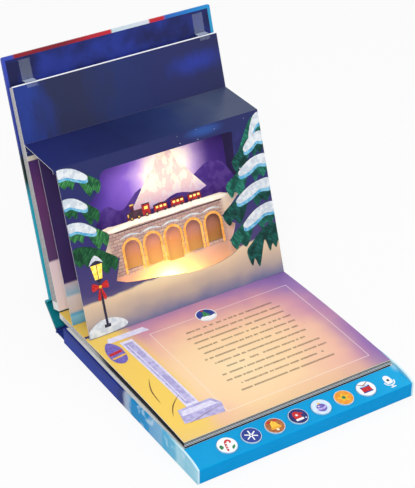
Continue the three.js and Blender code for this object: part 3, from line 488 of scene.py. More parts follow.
white = ink("f4f5f6")
cream = ink("f6e2bc")
red = ink("b8202a", "d23a36", 2.0)
green = ink("2f7a4a", "3f9158", 2.0)
navy = ink("2b3a86", "35479a", 4.0)
night = ink("262c62", "303876", 4.0)
gold = ink("f0b42e", "f7cc50", 2.0)
orange = ink("e8912f", "f0a544", 3.0)
brown = ink("9a5a34", "b87244", 3.0)
sky_blue = ink("c4dbf2", "dbe9f8", 3.0)
violet = ink("6a5cae", "8274c4", 2.0)
lilac = ink("b4a6dc", "c8bce8", 3.0)

cane = smooth([(-3.4, -6.6), (-1.6, -6.4), (0.4, 1.0), (1.8, 4.0), (3.6, 3.4), (3.4, 1.4), (5.2, 1.4),
               (5.6, 4.2), (3.0, 6.4), (-0.2, 5.2), (-1.8, 1.6)], 3)
cane_picture = [
    (red, cane), (white, bar(-2.2, -3.6, -0.2, -4.4, 1.1)), (white, bar(-1.6, -0.8, 0.6, -1.6, 1.1)),
    (white, bar(-0.8, 2.6, 1.2, 1.2, 1.1)),
    (green, smooth([(-7.4, -3), (-4.2, -1.0), (-5.4, 2.4), (-7.8, 1.0)], 3)),
    (green, smooth([(2.4, -6.8), (5.4, -5.4), (6.8, -2.4), (3.4, -3.6)], 3))]
flake_arm = 6.4
flake_picture = []
for a in (math.pi / 6, math.pi / 2, 5 * math.pi / 6):
    tip_x = flake_arm * math.cos(a)
    tip_s = flake_arm * math.sin(a)
    flake_picture.append((white, bar(tip_x, tip_s, -tip_x, -tip_s, 1.3)))
flake_picture += [(white, star(0, 0, 3.4, 1.6, 6)), (navy, ring(0, 0, 0.9, count=10))]
bell = smooth([(-5.4, -3.4), (-3.8, 0.4), (-2.8, 4.6), (0.0, 6.4), (2.8, 4.6), (3.8, 0.4), (5.4, -3.4),
               (0.0, -4.2)], 3)
bell_picture = [
    (gold, bell), (orange, bar(-5.2, -2.6, 5.2, -2.6, 1.5)), (cream, ring(0, -5.4, 1.5, count=12)),
    (red, smooth([(-0.8, 5.6), (-4.6, 7.6), (-5.2, 4.6)], 3)),
    (red, smooth([(0.8, 5.6), (4.6, 7.6), (5.2, 4.6)], 3))]
mitten = smooth([(-3.6, -3.0), (3.2, -3.0), (3.6, 1.2), (5.8, 0.8), (6.0, 3.0), (3.4, 4.0), (1.8, 6.4),
                 (-1.8, 6.4), (-3.8, 3.6)], 3)
mitten_picture = [
    (red, moved(mitten, -0.6, -0.2)), (white, bar(-4.6, -4.2, 3.6, -4.2, 2.6)),
    (white, star(-0.8, 1.6, 1.9, 0.8, 6)), (sky_blue, ring(5.8, -4.8, 0.9, count=10))]
bauble_band = smooth([(-5.0, -0.2), (0, -1.6), (5.0, -0.2), (5.0, -2.2), (0, -3.6), (-5.0, -2.2)], 3)
bauble_picture = [
    (violet, ring(0, -1.2, 5.2, count=24)), (lilac, bauble_band),
    (gold, bar(-1.3, 4.6, 1.3, 4.6, 1.8)), (white, ring(-2.0, 1.2, 0.9, count=10))]
star_picture = [(gold, star(0, 0, 7.0, 3.2, 5)), (green, ring(0, 0, 2.0, count=14))]
drum_picture = [
    (red, bar(-5.2, -1.0, 5.2, -1.0, 6.4)), (navy, bar(-5.4, 2.4, 5.4, 2.4, 1.4)),
    (navy, bar(-5.4, -4.6, 5.4, -4.6, 1.4)), (sky_blue, ring(0, 3.9, 5.4, 1.4, 20)),
    (brown, bar(-5.8, 7.4, 1.4, 4.0, 0.8)), (brown, bar(5.8, 7.4, -1.4, 4.0, 0.8))]
pictures = [(white, cane_picture), (navy, flake_picture), (brown, bell_picture), (night, mitten_picture),
            (sky_blue, bauble_picture), (orange, star_picture), (white, drum_picture)]

button_row = strip_run / 2 / math.cos(console_slope) - 0.4
first_button = -82.5
button_pitch = 26.4
face_cream = ink("d7dbe2", "e6e9ee", 3.0, 0.3)
for i, (ground_ink, shapes) in enumerate(pictures):
    centre = (first_button + button_pitch * i, button_row)
    dress(f"button_{i + 1}", ink("8cc9ea", "a4d5ef", 3.0, 0.3))
    disc = [(face_cream, ring(*centre, 9.75, count=40)), (ground_ink, ring(*centre, 9.3, count=40))]
    disc += [(paint, moved(outline, *centre)) for paint, outline in shapes]
    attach(print_piece(f"button_{i + 1}_print", console_plane, disc, 1.1, 0.015), f"button_{i + 1}")

mic_x = first_button + button_pitch * 7
head = moved(smooth([(0, -4), (6.8, -4), (6.8, 4), (3.4, 6.4), (0, 4)], 4), mic_x - 3.4, button_row)
half_turn = [math.pi + k * math.pi / 14 for k in range(15)]
cradle = arc(mic_x, button_row - 1.5, 6.2, half_turn)
cradle += arc(mic_x, button_row - 1.5, 4.9, reversed(half_turn))
# The black disc over the microphone hole is painted shade in the hole.
sign = [(white, cradle), (white, bar(mic_x, button_row - 7.4, mic_x, button_row - 9.6, 1.4)),
        (white, bar(mic_x - 3, button_row - 9.8, mic_x + 3, button_row - 9.8, 1.2)), (white, head),
        (ink("101216"), ring(mic_x, button_row, 1.5, count=18))]
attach(print_piece("microphone_sign", console_plane, sign, 0.05), "base")


# Page piles
# Stiff printed leaves with white cut edges, one pile on the case and one hung on the cover. The
# lower page is peach and yellow inside violet, with a fine frame, rows of word marks, a medal and a
# post in its margin. The upper page is brushed navy above the pop-up and plum inside it.
def cut_edge(art, strength=0.5):
    leaves = art.point(art.times(art.x, 0.02), art.times(art.y, 0.02), art.z)
    return art.mix(art.times(art.noise(1.0, 2.0, leaves), strength), "f6f4f1", "a3a0a2")


art = Print("lower_page_print", 0.38)
wide = art.stray(art.away(art.x, art.y, (-12.0, -30.0), (138.0, 114.0)), 0.35, 45.0)
page = art.ramp(wide, 0.0, 1.75, [
    (0.0, "fbe2b4"), (0.62, "f8d3a6"), (0.92, "edb9a2"), (1.12, "cf94a6"), (1.34, "9a74ae"),
    (1.6, "70589e"), (1.75, "5c4a92")])
left_glow = art.span(art.stray(art.x, 14.0, 20.0, 3.0), -58.0, -84.0)
page = art.mix(art.times(left_glow, 0.9), page, "f4cf56")
page = art.mix(art.times(art.span(art.y, -70.0, -100.0), 0.45), page, "e8c489")
violet_right = art.times(art.span(art.x, 84.0, 118.0), art.span(art.y, 60.0, -60.0), 0.7)
page = art.mix(violet_right, page, "7a5fac")
text_middle = 22.0
text_foot = -66.0
row_pitch = 9.6
from_middle = art.math("ABSOLUTE", art.math("SUBTRACT", art.x, text_middle))
frame_u = art.math("SUBTRACT", from_middle, 82.0)
frame_v = art.math("SUBTRACT", art.math("ABSOLUTE", art.math("SUBTRACT", art.y, -9.0)), 72.0)
frame_line = art.band(art.math("MAXIMUM", frame_u, frame_v), -0.35, 0.35, 0.15)
page = art.mix(art.times(frame_line, 0.65), page, "fbeee6")
row = art.math("DIVIDE", art.math("SUBTRACT", art.y, text_foot), row_pitch)
row_number = art.math("FLOOR", row)
row_part = art.math("FRACT", row)
twelve_rows = art.times(art.math("GREATER_THAN", row_number, -0.5), art.math("LESS_THAN", row_number, 11.5))
row_width = art.add("ShaderNodeTexWhiteNoise")
row_width.noise_dimensions = "1D"
art.link(row_number, row_width.inputs["W"])
half_row = art.math("MULTIPLY_ADD", row_width.outputs["Value"], 14.0, 46.0)
in_row = art.math("LESS_THAN", from_middle, half_row)
letters = art.noise(0.42, 1.0, art.point(art.x, art.times(row_number, 91.0), art.times(art.y, 0.5)))
words = art.noise(3.4, 0.0, art.point(art.x, art.times(row_number, 53.0)))
mark = art.times(art.band(row_part, 0.33, 0.57, 0.06), art.span(letters, 0.34, 0.5),
                 art.math("GREATER_THAN", words, 0.36), in_row, twelve_rows)
page = art.mix(art.times(mark, 0.74), page, "54402f")
on_top = art.times(art.faces((0, 0, 1), 0.6), art.math("GREATER_THAN", art.z, 24.6))
# The front edge bands alternate white cut edges with dark lines of painted shade in the gaps between leaves
# and above the strip.
front_edge_gap_shade = art.ramp(art.z, 18.5, 25.5, [
    (18.5, "141316"), (19.9, "1a181b"), (20.2, "dcd8d2"), (21.2, "dcd8d2"), (21.4, "2a282a"),
    (21.6, "f4f0ea"), (22.8, "f4f0ea"), (23.0, "b8b4b0"), (23.9, "a8a4a0"), (24.1, "3a3638"),
    (24.45, "f2e4c6"), (25.5, "f6e8cc")])
paper = art.mix(art.faces((0, -1, 0), 0.3), cut_edge(art), front_edge_gap_shade)
# Painted shade: faces lying flat inside the slits between leaves are dark.
level = art.math("ABSOLUTE", art.vector("DOT_PRODUCT", art.facing, (0.0, 0.0, 1.0)))
paper = art.mix(level, paper, "2c2728")
# Painted shade: the left side of the pile darkens towards the back, in the gap under the upper pages.
hollow_shade = art.times(art.band(art.z, 20.4, 24.2), art.span(art.y, 78.0, 40.0), art.faces((-1, 0, 0), 0.5))
paper = art.mix(hollow_shade, paper, "1d1b1e")
dress("lower_pages", art.done(art.mix(on_top, paper, page)))

page_rest = 25.35
page_front = -98.0
page_bow = 2.2
bow_length = 236.0 * 0.8


def page_height(y):
    share = min(1.0, max(0.0, (y - page_front) / bow_length))
    return page_rest + page_bow * math.sin(math.pi * share) ** 0.7


def dense(outline):
    """The same outline with a point every 4 mm or so, so that the print follows the bowed leaf."""
    line = []
    for a, b in zip(outline, outline[1:] + outline[:1]):
        steps = max(1, int(math.hypot(b[0] - a[0], b[1] - a[1]) / 4.0))
        line += [(a[0] + (b[0] - a[0]) * k / steps, a[1] + (b[1] - a[1]) * k / steps) for k in range(steps)]
    return line


page_plane = {"foot": (0.0, 0.0, 0.0), "up": (0.0, 1.0, 0.0), "out": (0.0, 0.0, 1.0)}
post_ink = ink("a9a2d2", "c3bde2", 5.0)
post_light = ink("d9d4ee", "e6e2f4", 4.0)
twig_ink = ink("6d4a34", "7f5a40", 3.0)
margin = [
    (post_light, dense([(-93, 66), (-79, 66), (-76, -56), (-90, -56)])),
    (post_ink, dense([(-91, 62), (-81, 62), (-78, -52), (-88, -52)])),
    (post_light, dense([(-88.6, 58), (-87.4, 58), (-85.2, -48), (-86.4, -48)])),
    (post_ink, dense([(-100, -56), (-64, -56), (-58, -66), (-62, -80), (-104, -76)])),
    (post_light, dense([(-98, -59), (-66, -59), (-62, -66), (-100, -66)])),
    (post_light, dense([(-104, 70), (-56, 70), (-60, 78), (-100, 78)])),
    (violet, dense(smooth([(-112, 60), (-104, 72), (-96, 60), (-98, 40), (-106, 34), (-113, 42)], 4))),
    (red, dense([(-112, 54), (-97, 56), (-97, 52), (-112, 50)])),
    (gold, dense([(-112, 46), (-97, 48), (-97, 45.5), (-112, 43.5)])),
]
for base_x, base_y, rise_x, rise_y in ((-108, -40, 10, 40), (-108, -62, 22, 26), (-100, -78, 40, 8)):
    mid = (base_x + rise_x * 0.5 - 3, base_y + rise_y * 0.55)
    tip = (base_x + rise_x, base_y + rise_y)
    twig = [(base_x, base_y), (mid[0] - 0.5, mid[1]), tip, (mid[0] + 0.6, mid[1] - 0.4)]
    margin.append((twig_ink, dense(smooth(twig, 4))))
medal_snow = smooth([(-9, -4), (-3, -0.8), (3, -3.4), (9, -2.6), (6.6, -7.4), (0, -9.8), (-6.6, -7.4)], 3)
medal = [(white, ring(0, 0, 11.0, count=36)), (navy, ring(0, 0, 10.0, count=36)), (white, medal_snow),
         (green, [(-4.4, -2.0), (0, 8.4), (4.4, -2.0)]), (red, ring(0, 8.2, 1.5, count=10))]
margin += [(paint, moved(outline, 5.0, 61.0)) for paint, outline in medal]
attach(print_piece("page_margin_print", page_plane, margin, 0.12, rise=page_height), "base")

lean = math.radians(18.5)
up_lean = (0.0, math.sin(lean), math.cos(lean))
out_lean = (0.0, -math.cos(lean), math.sin(lean))
leaf_plane = {"foot": (0.0, 146.0, 26.8), "up": up_lean, "out": out_lean}
art = Print("upper_page_print", 0.36)
s = art.climb(leaf_plane)
brush = art.noise(16.0, 3.0, art.vector("MULTIPLY", art.at, (1.0, 0.35, 0.35)), 0.6)
night_page = art.ramp(art.math("MULTIPLY_ADD", brush, 70.0, art.x), -118, 165, [
    (-118, "24306e"), (-75, "283c8c"), (-40, "2a2f52"), (-8, "2c3050"), (30, "273468"), (70, "282f62"),
    (110, "2b2f60"), (150, "2a2d58")])
patch = art.math("MULTIPLY_ADD", brush, 0.9, art.away(art.x, s, (88.0, 210.0), (44.0, 17.0)))
night_page = art.mix(art.times(art.span(patch, 1.5, 0.5), 0.6), night_page, "2f43b4")
box_top = 176
inner = art.ramp(s, 0, box_top, [
    (0, "f2dcd6"), (52, "f0d6da"), (54, "5e3f6c"), (120, "6b3c6e"), (158, "4b2f66"), (box_top, "4b2f66")])
inner = art.mix(art.times(art.span(art.x, 0.0, 60.0), art.span(s, 54.0, 60.0)), inner, "2c1d52")
inner = art.mix(art.band(s, 159.0, box_top, 0.4), inner, "d9cdbd")
night_page = art.mix(art.span(s, box_top - 0.5, box_top + 0.5), inner, night_page)
night_page = art.mix(art.span(s, 233.8, 234.2), night_page, "f6f6fa")
depth = art.depth(leaf_plane)
on_top = art.times(art.faces(out_lean), art.math("GREATER_THAN", depth, -0.6))
# Painted shade: faces that lie along the leaves below the top one are grey.
slant = art.math("ABSOLUTE", art.vector("DOT_PRODUCT", art.facing, out_lean))
paper = art.mix(art.math("GREATER_THAN", slant, 0.7), cut_edge(art, 0.15), "8a8688")
# Painted highlight: the upward edge of the front leaf glows a little.
painted_top_highlight = art.times(art.math("GREATER_THAN", depth, -1.1), art.faces(up_lean), 0.35)
dress("upper_pages", art.done(art.mix(on_top, paper, night_page), painted_top_highlight))


# Pop-up
# The box front and top are one folded sheet of printed card with white cut edges, glued to both
# pages. Snowy firs frame its window, and a lantern on a post stands on the drift at the left. The
# sky card and the scenery card stand behind the window.
front_plane = {"foot": (0.0, 86.0, 26.0), "up": up_lean, "out": out_lean}
scenery_plane = {"foot": (0.0, 101.6, 25.65), "up": up_lean, "out": out_lean}
sky_plane = {"foot": (0.0, 117.2, 25.65), "up": up_lean, "out": out_lean}
art = Print("popup_print", 0.3)
s = art.climb(front_plane)
sky = art.ramp(art.stray(s, 26.0, 30.0, 3.0), 20, 200, [
    (20, "8a7f92"), (60, "4a4274"), (110, "33306e"), (160, "2b2f66"), (200, "28305f")])
blue_cloud = art.away(art.x, s, (52.0, 172.0), (22.0, 6.0))
sky = art.mix(art.times(art.span(blue_cloud, 1.3, 0.2), 0.6), sky, "3560b0")
snow_line = art.math("MULTIPLY_ADD", art.x, 0.05, 46.0)
under = art.span(art.math("SUBTRACT", art.stray(s, 14.0, 40.0), snow_line), 3.0, 0.0)
snow_tone = art.ramp(art.stray(s, 16.0, 30.0), 0, 75, [
    (0, "5f6492"), (10, "7c7c9a"), (24, "bba89c"), (42, "e0c4a4"), (75, "f4e0c4")])
sky = art.mix(under, sky, snow_tone)
stars = art.times(art.dots(art.x, s, 0.5, 7.0, 0.45), art.span(s, 120.0, 160.0))
sky = art.mix(stars, sky, "e8eeff")
# Painted light: a warm pool from the lamp on the snow under the window.
painted_lamp_light = art.span(art.away(art.x, s, (-6.0, 44.0), (84.0, 20.0)), 1.1, 0.25)
sky = art.mix(art.times(painted_lamp_light, under, 0.75), sky, "f8e2b4")
top_face = art.faces((0, 0, 1), 0.75)
# The top panel is navy, with a painted sheen that lightens it towards the right.
top = art.ramp(art.stray(art.x, 60.0, 34.0, 3.0), -118, 160, [
    (-118, "1f2664"), (-60, "20285e"), (0, "1c2450"), (60, "273462"), (110, "454f6c"), (160, "384362")])
sky = art.mix(top_face, sky, top)
both = art.math("MAXIMUM", art.faces(out_lean), top_face)
dress("popup_box", art.done(art.mix(both, art.mix(art.noise(2.0, 3.0), "e9e7ea", "f6f5f4"), sky)))


def needles(name, dark, light, tilt):
    """Painted fir needles: thin strokes that droop towards the window."""
    art = Print(name, 0.4)
    s = art.climb(front_plane)
    across = art.math("MULTIPLY_ADD", s, tilt, art.x)
    strokes = art.noise(1.0, 3.0, art.point(art.times(across, 0.75), art.times(s, 0.12)), 0.6)
    body = art.mix(art.span(strokes, 0.36, 0.64), dark, light)
    return art.done(art.mix(art.span(art.noise(8.0), 0.42, 0.66), body, dark))


fir_dark = needles("fir_dark", "0b332f", "1f6a60", 0.9)
fir_mid = needles("fir_mid", "0f453d", "2f8a74", 0.7)
fir_left = needles("fir_left", "0f3a28", "2d7443", -0.8)
fir_left_mid = needles("fir_left_mid", "174c32", "4b9a55", -0.6)
snow_cold = ink("c9d2dc", "e6ebef", 5.0)
snow_blue = ink("4da3cf", "86c4e0", 4.0)


def bough(tip, root, drop):
    """One drooping fir bough, from its root at the edge of the card to its tip over the window."""
    span_x = tip[0] - root[0]
    span_s = tip[1] - root[1]
    body = [root, (root[0] + span_x * 0.4, root[1] + span_s * 0.2 + 3),
            (root[0] + span_x * 0.8, root[1] + span_s * 0.7 + 2), tip]
    fringe = []
    for k in range(5):
        t = 0.9 - 0.2 * k
        sag = drop * (0.55 + 0.25 * math.sin(2.2 * k))
        notch = (root[0] + span_x * t, root[1] + span_s * t - sag)
        fringe += [notch, (notch[0] - span_x * 0.1, notch[1] + drop * 0.22)]
    return smooth(body + fringe + [(root[0], root[1] - drop)], 3)


def snow_cap(tip, root, depth):
    span_x = tip[0] - root[0]
    span_s = tip[1] - root[1]
    along = [(0.0, 0.0, 2.5), (0.45, 0.25, 4.5), (0.85, 0.75, 2.0), (0.8, 0.8, -depth * 0.3),
             (0.5, 0.4, -depth * 0.7), (0.25, 0.3, -depth * 0.3), (0.0, 0.0, -depth)]
    return smooth([(root[0] + span_x * u, root[1] + span_s * v + lift) for u, v, lift in along], 4)


def snowy_fir(tiers, paints, laden, inset, rise, depth, sink):
    """The boughs down one side of the card, the upper ones under snow with a blue shadow below it."""
    shapes = []
    for k, (tip, root, drop) in enumerate(tiers):
        shapes.append((paints[k % 2], bough(tip, root, drop)))
        if k < laden:
            shadow = snow_cap((tip[0] + inset, tip[1] + rise), root, depth + 1)
            shapes.append((snow_blue, moved(shadow, 0, sink)))
            shapes.append((snow_cold, snow_cap((tip[0] + inset, tip[1] + rise + 1), root, depth)))
    return shapes


card_left = -114.6
card_right = 117.6
right_tiers = [((88, 139), (card_right, 172), 26), ((78, 131), (card_right, 152), 26),
               ((66, 108), (card_right, 128), 28), ((57, 80), (card_right, 102), 28),
               ((61, 52), (card_right, 76), 26), ((78, 34), (card_right, 54), 34)]
left_tiers = [((-71, 152), (card_left, 173), 22), ((-78, 124), (card_left, 143), 22),
              ((-73, 98), (card_left, 118), 22), ((-68, 72), (card_left, 94), 24)]
window_edge = smooth([(82.5, 136), (82.4, 146), (84.2, 161.8), (90, 161.6), (93, 156), (93, 136)], 3)
panel_art = [(ink("2a2c62", "30326c", 8.0), window_edge)]
panel_art += snowy_fir(right_tiers, (fir_mid, fir_dark), 5, 12, 5, 8, -2.5)
panel_art += snowy_fir(left_tiers, (fir_left_mid, fir_left), 3, -8, 4, 6, -2.0)
iron = ink("2b2a3c", "3d3b52", 3.0)
# The lantern's glass is given a painted glow.
lantern_glass_glow = ink("f6c437", "fde07a", 3.0, 0.3, 0.5)
panel_art += [
    (snow_cold, smooth([(card_left, 8), (-100, 16), (-84, 15), (-72, 8), (-76, 2), (card_left, 1)], 4)),
    (iron, bar(-93, 8, -93, 58, 2.6)), (iron, bar(-96.5, 9, -89.5, 9, 3.4)),
    (iron, bar(-96, 57, -90, 57, 2.2)), (lantern_glass_glow, [(-97, 58), (-89, 58), (-86.5, 73), (-99.5, 73)]),
    (iron, bar(-93, 58, -93, 73, 0.8)), (iron, [(-101, 73), (-85, 73), (-93, 81)]),
    (snow_cold, smooth([(-101, 73.6), (-93, 82.8), (-85, 73.6), (-93, 77.4)], 3)),
    (red, smooth([(-93, 50), (-101, 55), (-102, 47)], 3)),
    (red, smooth([(-93, 50), (-85, 55), (-84, 47)], 3)),
    (red, smooth([(-93.5, 50), (-98, 38), (-94.6, 37)], 3)),
    (red, smooth([(-92.5, 50), (-88, 38), (-91.4, 37)], 3)),
    (gold, ring(-93, 50, 1.7, count=12)),
]


def inside_card(outline):
    """Cuts what would stand over the card's edges back to them."""
    return [(min(117.9, max(-114.7, x)), min(176.5, max(0.4, s))) for x, s in outline]


panel_art = [(paint, inside_card(outline)) for paint, outline in panel_art]
panel_print = print_piece("popup_front_print", front_plane, panel_art, 0.08, 0.012)
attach(panel_print, "base")

art = Print("sky_card_print", 0.38)
s = art.climb(sky_plane)
glow_at = art.away(art.x, s, (18.0, 128.0), (34.0, 36.0))
sky = art.ramp(art.stray(glow_at, 0.7, 22.0, 3.0), 0.6, 3.6, [
    (0.6, "fdf3d4"), (1.0, "f7e3dc"), (1.35, "c9a6e0"), (1.8, "8e66d0"), (2.6, "6a48ba"),
    (3.2, "4a3496"), (3.6, "352a78")])
sky = art.mix(art.times(art.span(art.x, 34.0, 72.0), 0.8), sky, "2a1862")
lower_sky = art.ramp(art.stray(s, 20.0, 18.0, 3.0), 0, 110, [
    (0, "fff0b0"), (25, "fbc860"), (60, "e8965a"), (85, "c98a9a"), (110, "a58fb8")])
sky = art.mix(art.span(art.stray(s, 20.0, 26.0), 100.0, 78.0), sky, lower_sky)
stars = art.dots(art.x, s, 0.45, 6.0, 0.4)
sky = art.mix(art.times(stars, art.span(glow_at, 1.2, 1.9)), sky, "f2ecff")
left_strip = art.ramp(s, 0, 180, [
    (0, "5d9dbc"), (9, "86bdd0"), (12, "4fa3c6"), (15, "d3c0b6"), (30, "d9ccc6"), (33, "8fb2c4"),
    (44, "c3b4bc"), (46, "3a2a5c"), (180, "33254f")])
sky = art.mix(art.span(art.x, -82.0, -84.0), sky, left_strip)
# Painted light: the moon's halo and a pool from the lamp below glow on the sky card.
moon_glow = art.times(art.span(glow_at, 2.2, 0.4), 0.5)
lamp_glow = art.times(art.span(art.away(art.x, s, (-4.0, 26.0), (70.0, 60.0)), 1.2, 0.1), 0.6)
glow = art.times(art.math("MAXIMUM", moon_glow, lamp_glow), art.span(art.x, -84.0, -80.0))
card_edge = art.mix(art.noise(2.0, 3.0), "dcdadc", "f0efee")
dress("popup_sky", art.done(art.mix(art.faces(out_lean), card_edge, sky), glow))

art = Print("peak_print", 0.4)
s = art.climb(sky_plane)
rock = art.noise(9.0, 4.0, art.vector("MULTIPLY", art.at, (1.0, 1.0, 0.5)), 0.65)
peak = art.mix(art.span(rock, 0.44, 0.56), "fff2d6", "e9c9c0")
peak = art.mix(art.span(art.math("MULTIPLY_ADD", rock, 40.0, s), 140.0, 96.0), peak, "a77fc4")
# The peak is given a painted glow.
glowing_peak_paint = art.done(peak, 0.42)
far_hill = ink("50348e", "64469e", 8.0)
peak_art = [
    (far_hill, smooth([(-80, 88), (-58, 108), (-40, 100), (-16, 116), (8, 104), (40, 110), (66, 122),
                       (87, 112), (87, 70), (-80, 70)], 4)),
    (glowing_peak_paint, [(-30, 96), (-12, 118), (-4, 128), (2, 131), (10, 146), (17, 153), (21, 150), (27, 143),
                  (31, 132), (38, 127), (46, 115), (60, 98), (30, 88), (0, 88)]),
    (far_hill, smooth([(-60, 84), (-30, 96), (-4, 92), (24, 100), (54, 94), (87, 104), (87, 70),
                       (-60, 70)], 4)),
]
peak_print = print_piece("popup_peak_print", sky_plane, peak_art, 0.6)
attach(peak_print, "cover")

art = Print("scenery_print", 0.4)
s = art.climb(scenery_plane)
stone = art.add("ShaderNodeTexBrick")
art.link(art.point(art.x, s), stone.inputs["Vector"])
for name, value in (("Color1", "c9aa9c"), ("Color2", "b4948f"), ("Mortar", "7d5f6c"), ("Scale", 1.0),
                    ("Mortar Size", 0.25), ("Brick Width", 7.0), ("Row Height", 3.4)):
    art.feed(stone.inputs[name], value)
bank = art.ramp(art.stray(s, 14.0, 12.0, 3.0), 0, 60, [
    (0, "f0cda4"), (22, "edc39c"), (40, "e2b094"), (60, "cfa096")])
ground_tone = art.mix(art.span(art.stray(s, 16.0, 30.0), 53.0, 50.0), stone.outputs["Color"], bank)
snow_top = art.math("MAXIMUM", art.span(art.stray(s, 3.0, 5.0), 91.0, 93.5), art.span(art.x, 62.0, 70.0))
snow_top = art.math("MAXIMUM", snow_top, art.span(art.x, -64.0, -72.0))
snow_tint = art.ramp(art.stray(s, 30.0, 14.0, 3.0), 20, 120, [
    (20, "f4cfa4"), (60, "dcb9b4"), (90, "f0dcc8"), (120, "fbeede")])
ground_tone = art.mix(snow_top, ground_tone, snow_tint)
train = art.times(art.span(s, 96.2, 96.6), art.band(art.x, -50.0, 48.0, 0.5))
train_tone = art.mix(art.span(art.noise(5.0), 0.42, 0.58), "7c2232", "3a2a44")
ground_tone = art.mix(train, ground_tone, train_tone)
# Painted light: a warm pool with a pale core round the lamp, which also glows.
painted_lamp_pool = art.span(art.away(art.x, s, (-8.0, 26.0), (46.0, 44.0)), 1.1, 0.0)
ground_tone = art.mix(art.times(painted_lamp_pool, 0.8), ground_tone, "ffd97a")
painted_lamp_core = art.span(art.away(art.x, s, (-9.0, 26.0), (26.0, 20.0)), 1.0, 0.0)
ground_tone = art.mix(painted_lamp_core, ground_tone, "fff4a8")
painted_glow_share = art.math("MULTIPLY_ADD", painted_lamp_core, 0.75, art.math("MULTIPLY_ADD", painted_lamp_pool, 0.3, 0.03))
edge_tone = art.mix(art.noise(2.0, 3.0), "3a2d3c", "54404a")
dress("popup_scenery", art.done(art.mix(art.faces(out_lean), edge_tone, ground_tone), painted_glow_share))

# The arch trims are given a painted glow.
arch_trim = ink("e39a44", "f2b660", 4.0, 0.4, 0.25)
arch_count = 5
arch_pitch = 24
first_arch = -44


def arch_row_tree():
    """Brick trims round the arches: one arch on two legs, repeated along a level line, in metres."""
    tree = bpy.data.node_groups.new("arch_row", "GeometryNodeTree")
    sizes = (("Arches", "NodeSocketInt", arch_count), ("Pitch", "NodeSocketFloat", arch_pitch / 1000),
             ("Radius", "NodeSocketFloat", 0.01005), ("Trim width", "NodeSocketFloat", 0.0027),
             ("Leg", "NodeSocketFloat", 0.024))
    for name, kind, value in sizes:
        tree.interface.new_socket(name, in_out="INPUT", socket_type=kind).default_value = value
    tree.interface.new_socket("Paint", in_out="INPUT", socket_type="NodeSocketMaterial")
    tree.interface.new_socket("Trims", in_out="OUTPUT", socket_type="NodeSocketGeometry")
    add, link = tree.nodes.new, tree.links.new
    inputs = add("NodeGroupInput").outputs

    def scaled(value, factor):
        node = add("ShaderNodeMath")
        node.operation = "MULTIPLY"
        link(value, node.inputs[0])
        node.inputs[1].default_value = factor
        return node.outputs[0]

    def place(x, y=None):
        node = add("ShaderNodeCombineXYZ")
        link(x, node.inputs[0])
        if y is not None:
            link(y, node.inputs[1])
        return node.outputs[0]

    crown = add("GeometryNodeCurveArc")
    crown.inputs["Resolution"].default_value = 17
    crown.inputs["Sweep Angle"].default_value = math.pi
    link(inputs["Radius"], crown.inputs["Radius"])
    across = add("GeometryNodeCurvePrimitiveLine")
    link(place(scaled(inputs["Trim width"], -0.5)), across.inputs["Start"])
    link(place(scaled(inputs["Trim width"], 0.5)), across.inputs["End"])
    ribbon = add("GeometryNodeCurveToMesh")
    link(crown.outputs["Curve"], ribbon.inputs["Curve"])
    link(across.outputs["Curve"], ribbon.inputs["Profile Curve"])
    leg = add("GeometryNodeMeshGrid")
    leg.inputs["Vertices X"].default_value = 2
    leg.inputs["Vertices Y"].default_value = 2
    link(inputs["Trim width"], leg.inputs["Size X"])
    link(inputs["Leg"], leg.inputs["Size Y"])
    one_arch = add("GeometryNodeJoinGeometry")
    link(ribbon.outputs["Mesh"], one_arch.inputs[0])
    for side in (-1.0, 1.0):
        move = add("GeometryNodeTransform")
        link(leg.outputs["Mesh"], move.inputs["Geometry"])
        leg_middle = place(scaled(inputs["Radius"], side), scaled(inputs["Leg"], -0.5))
        link(leg_middle, move.inputs["Translation"])
        link(move.outputs["Geometry"], one_arch.inputs[0])
    row = add("GeometryNodeMeshLine")
    link(inputs["Arches"], row.inputs["Count"])
    link(place(inputs["Pitch"]), row.inputs["Offset"])
    repeat = add("GeometryNodeInstanceOnPoints")
    link(row.outputs["Mesh"], repeat.inputs["Points"])
    link(one_arch.outputs[0], repeat.inputs["Instance"])
    real = add("GeometryNodeRealizeInstances")
    link(repeat.outputs["Instances"], real.inputs["Geometry"])
    paint = add("GeometryNodeSetMaterial")
    link(real.outputs["Geometry"], paint.inputs["Geometry"])
    link(inputs["Paint"], paint.inputs["Material"])
    link(paint.outputs["Geometry"], add("NodeGroupOutput").inputs[0])
    return tree


arch_tree = arch_row_tree()
arches = bpy.data.objects.new("viaduct_arch_trims", bpy.data.meshes.new("viaduct_arch_trims"))
scene.collection.objects.link(arches)
builder = arches.modifiers.new("arch_row", "NODES")
builder.node_group = arch_tree
paint_socket = next(item for item in arch_tree.interface.items_tree if item.name == "Paint")
builder[paint_socket.identifier] = arch_trim
arch_mesh = bpy.data.meshes.new_from_object(arches.evaluated_get(bpy.context.evaluated_depsgraph_get()))
arches.modifiers.clear()
arches.data = arch_mesh
arch_spring = Vector(scenery_plane["foot"]) + Vector(up_lean) * 68.0 + Vector(out_lean) * 0.62
arch_start = (Vector((first_arch, 0.0, 0.0)) + arch_spring) / 1000
turn = Matrix((Vector((1.0, 0.0, 0.0)), Vector(up_lean), -Vector(out_lean))).transposed().to_4x4()
arch_mesh.transform(Matrix.Translation(arch_start) @ turn)
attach(arches, "base")

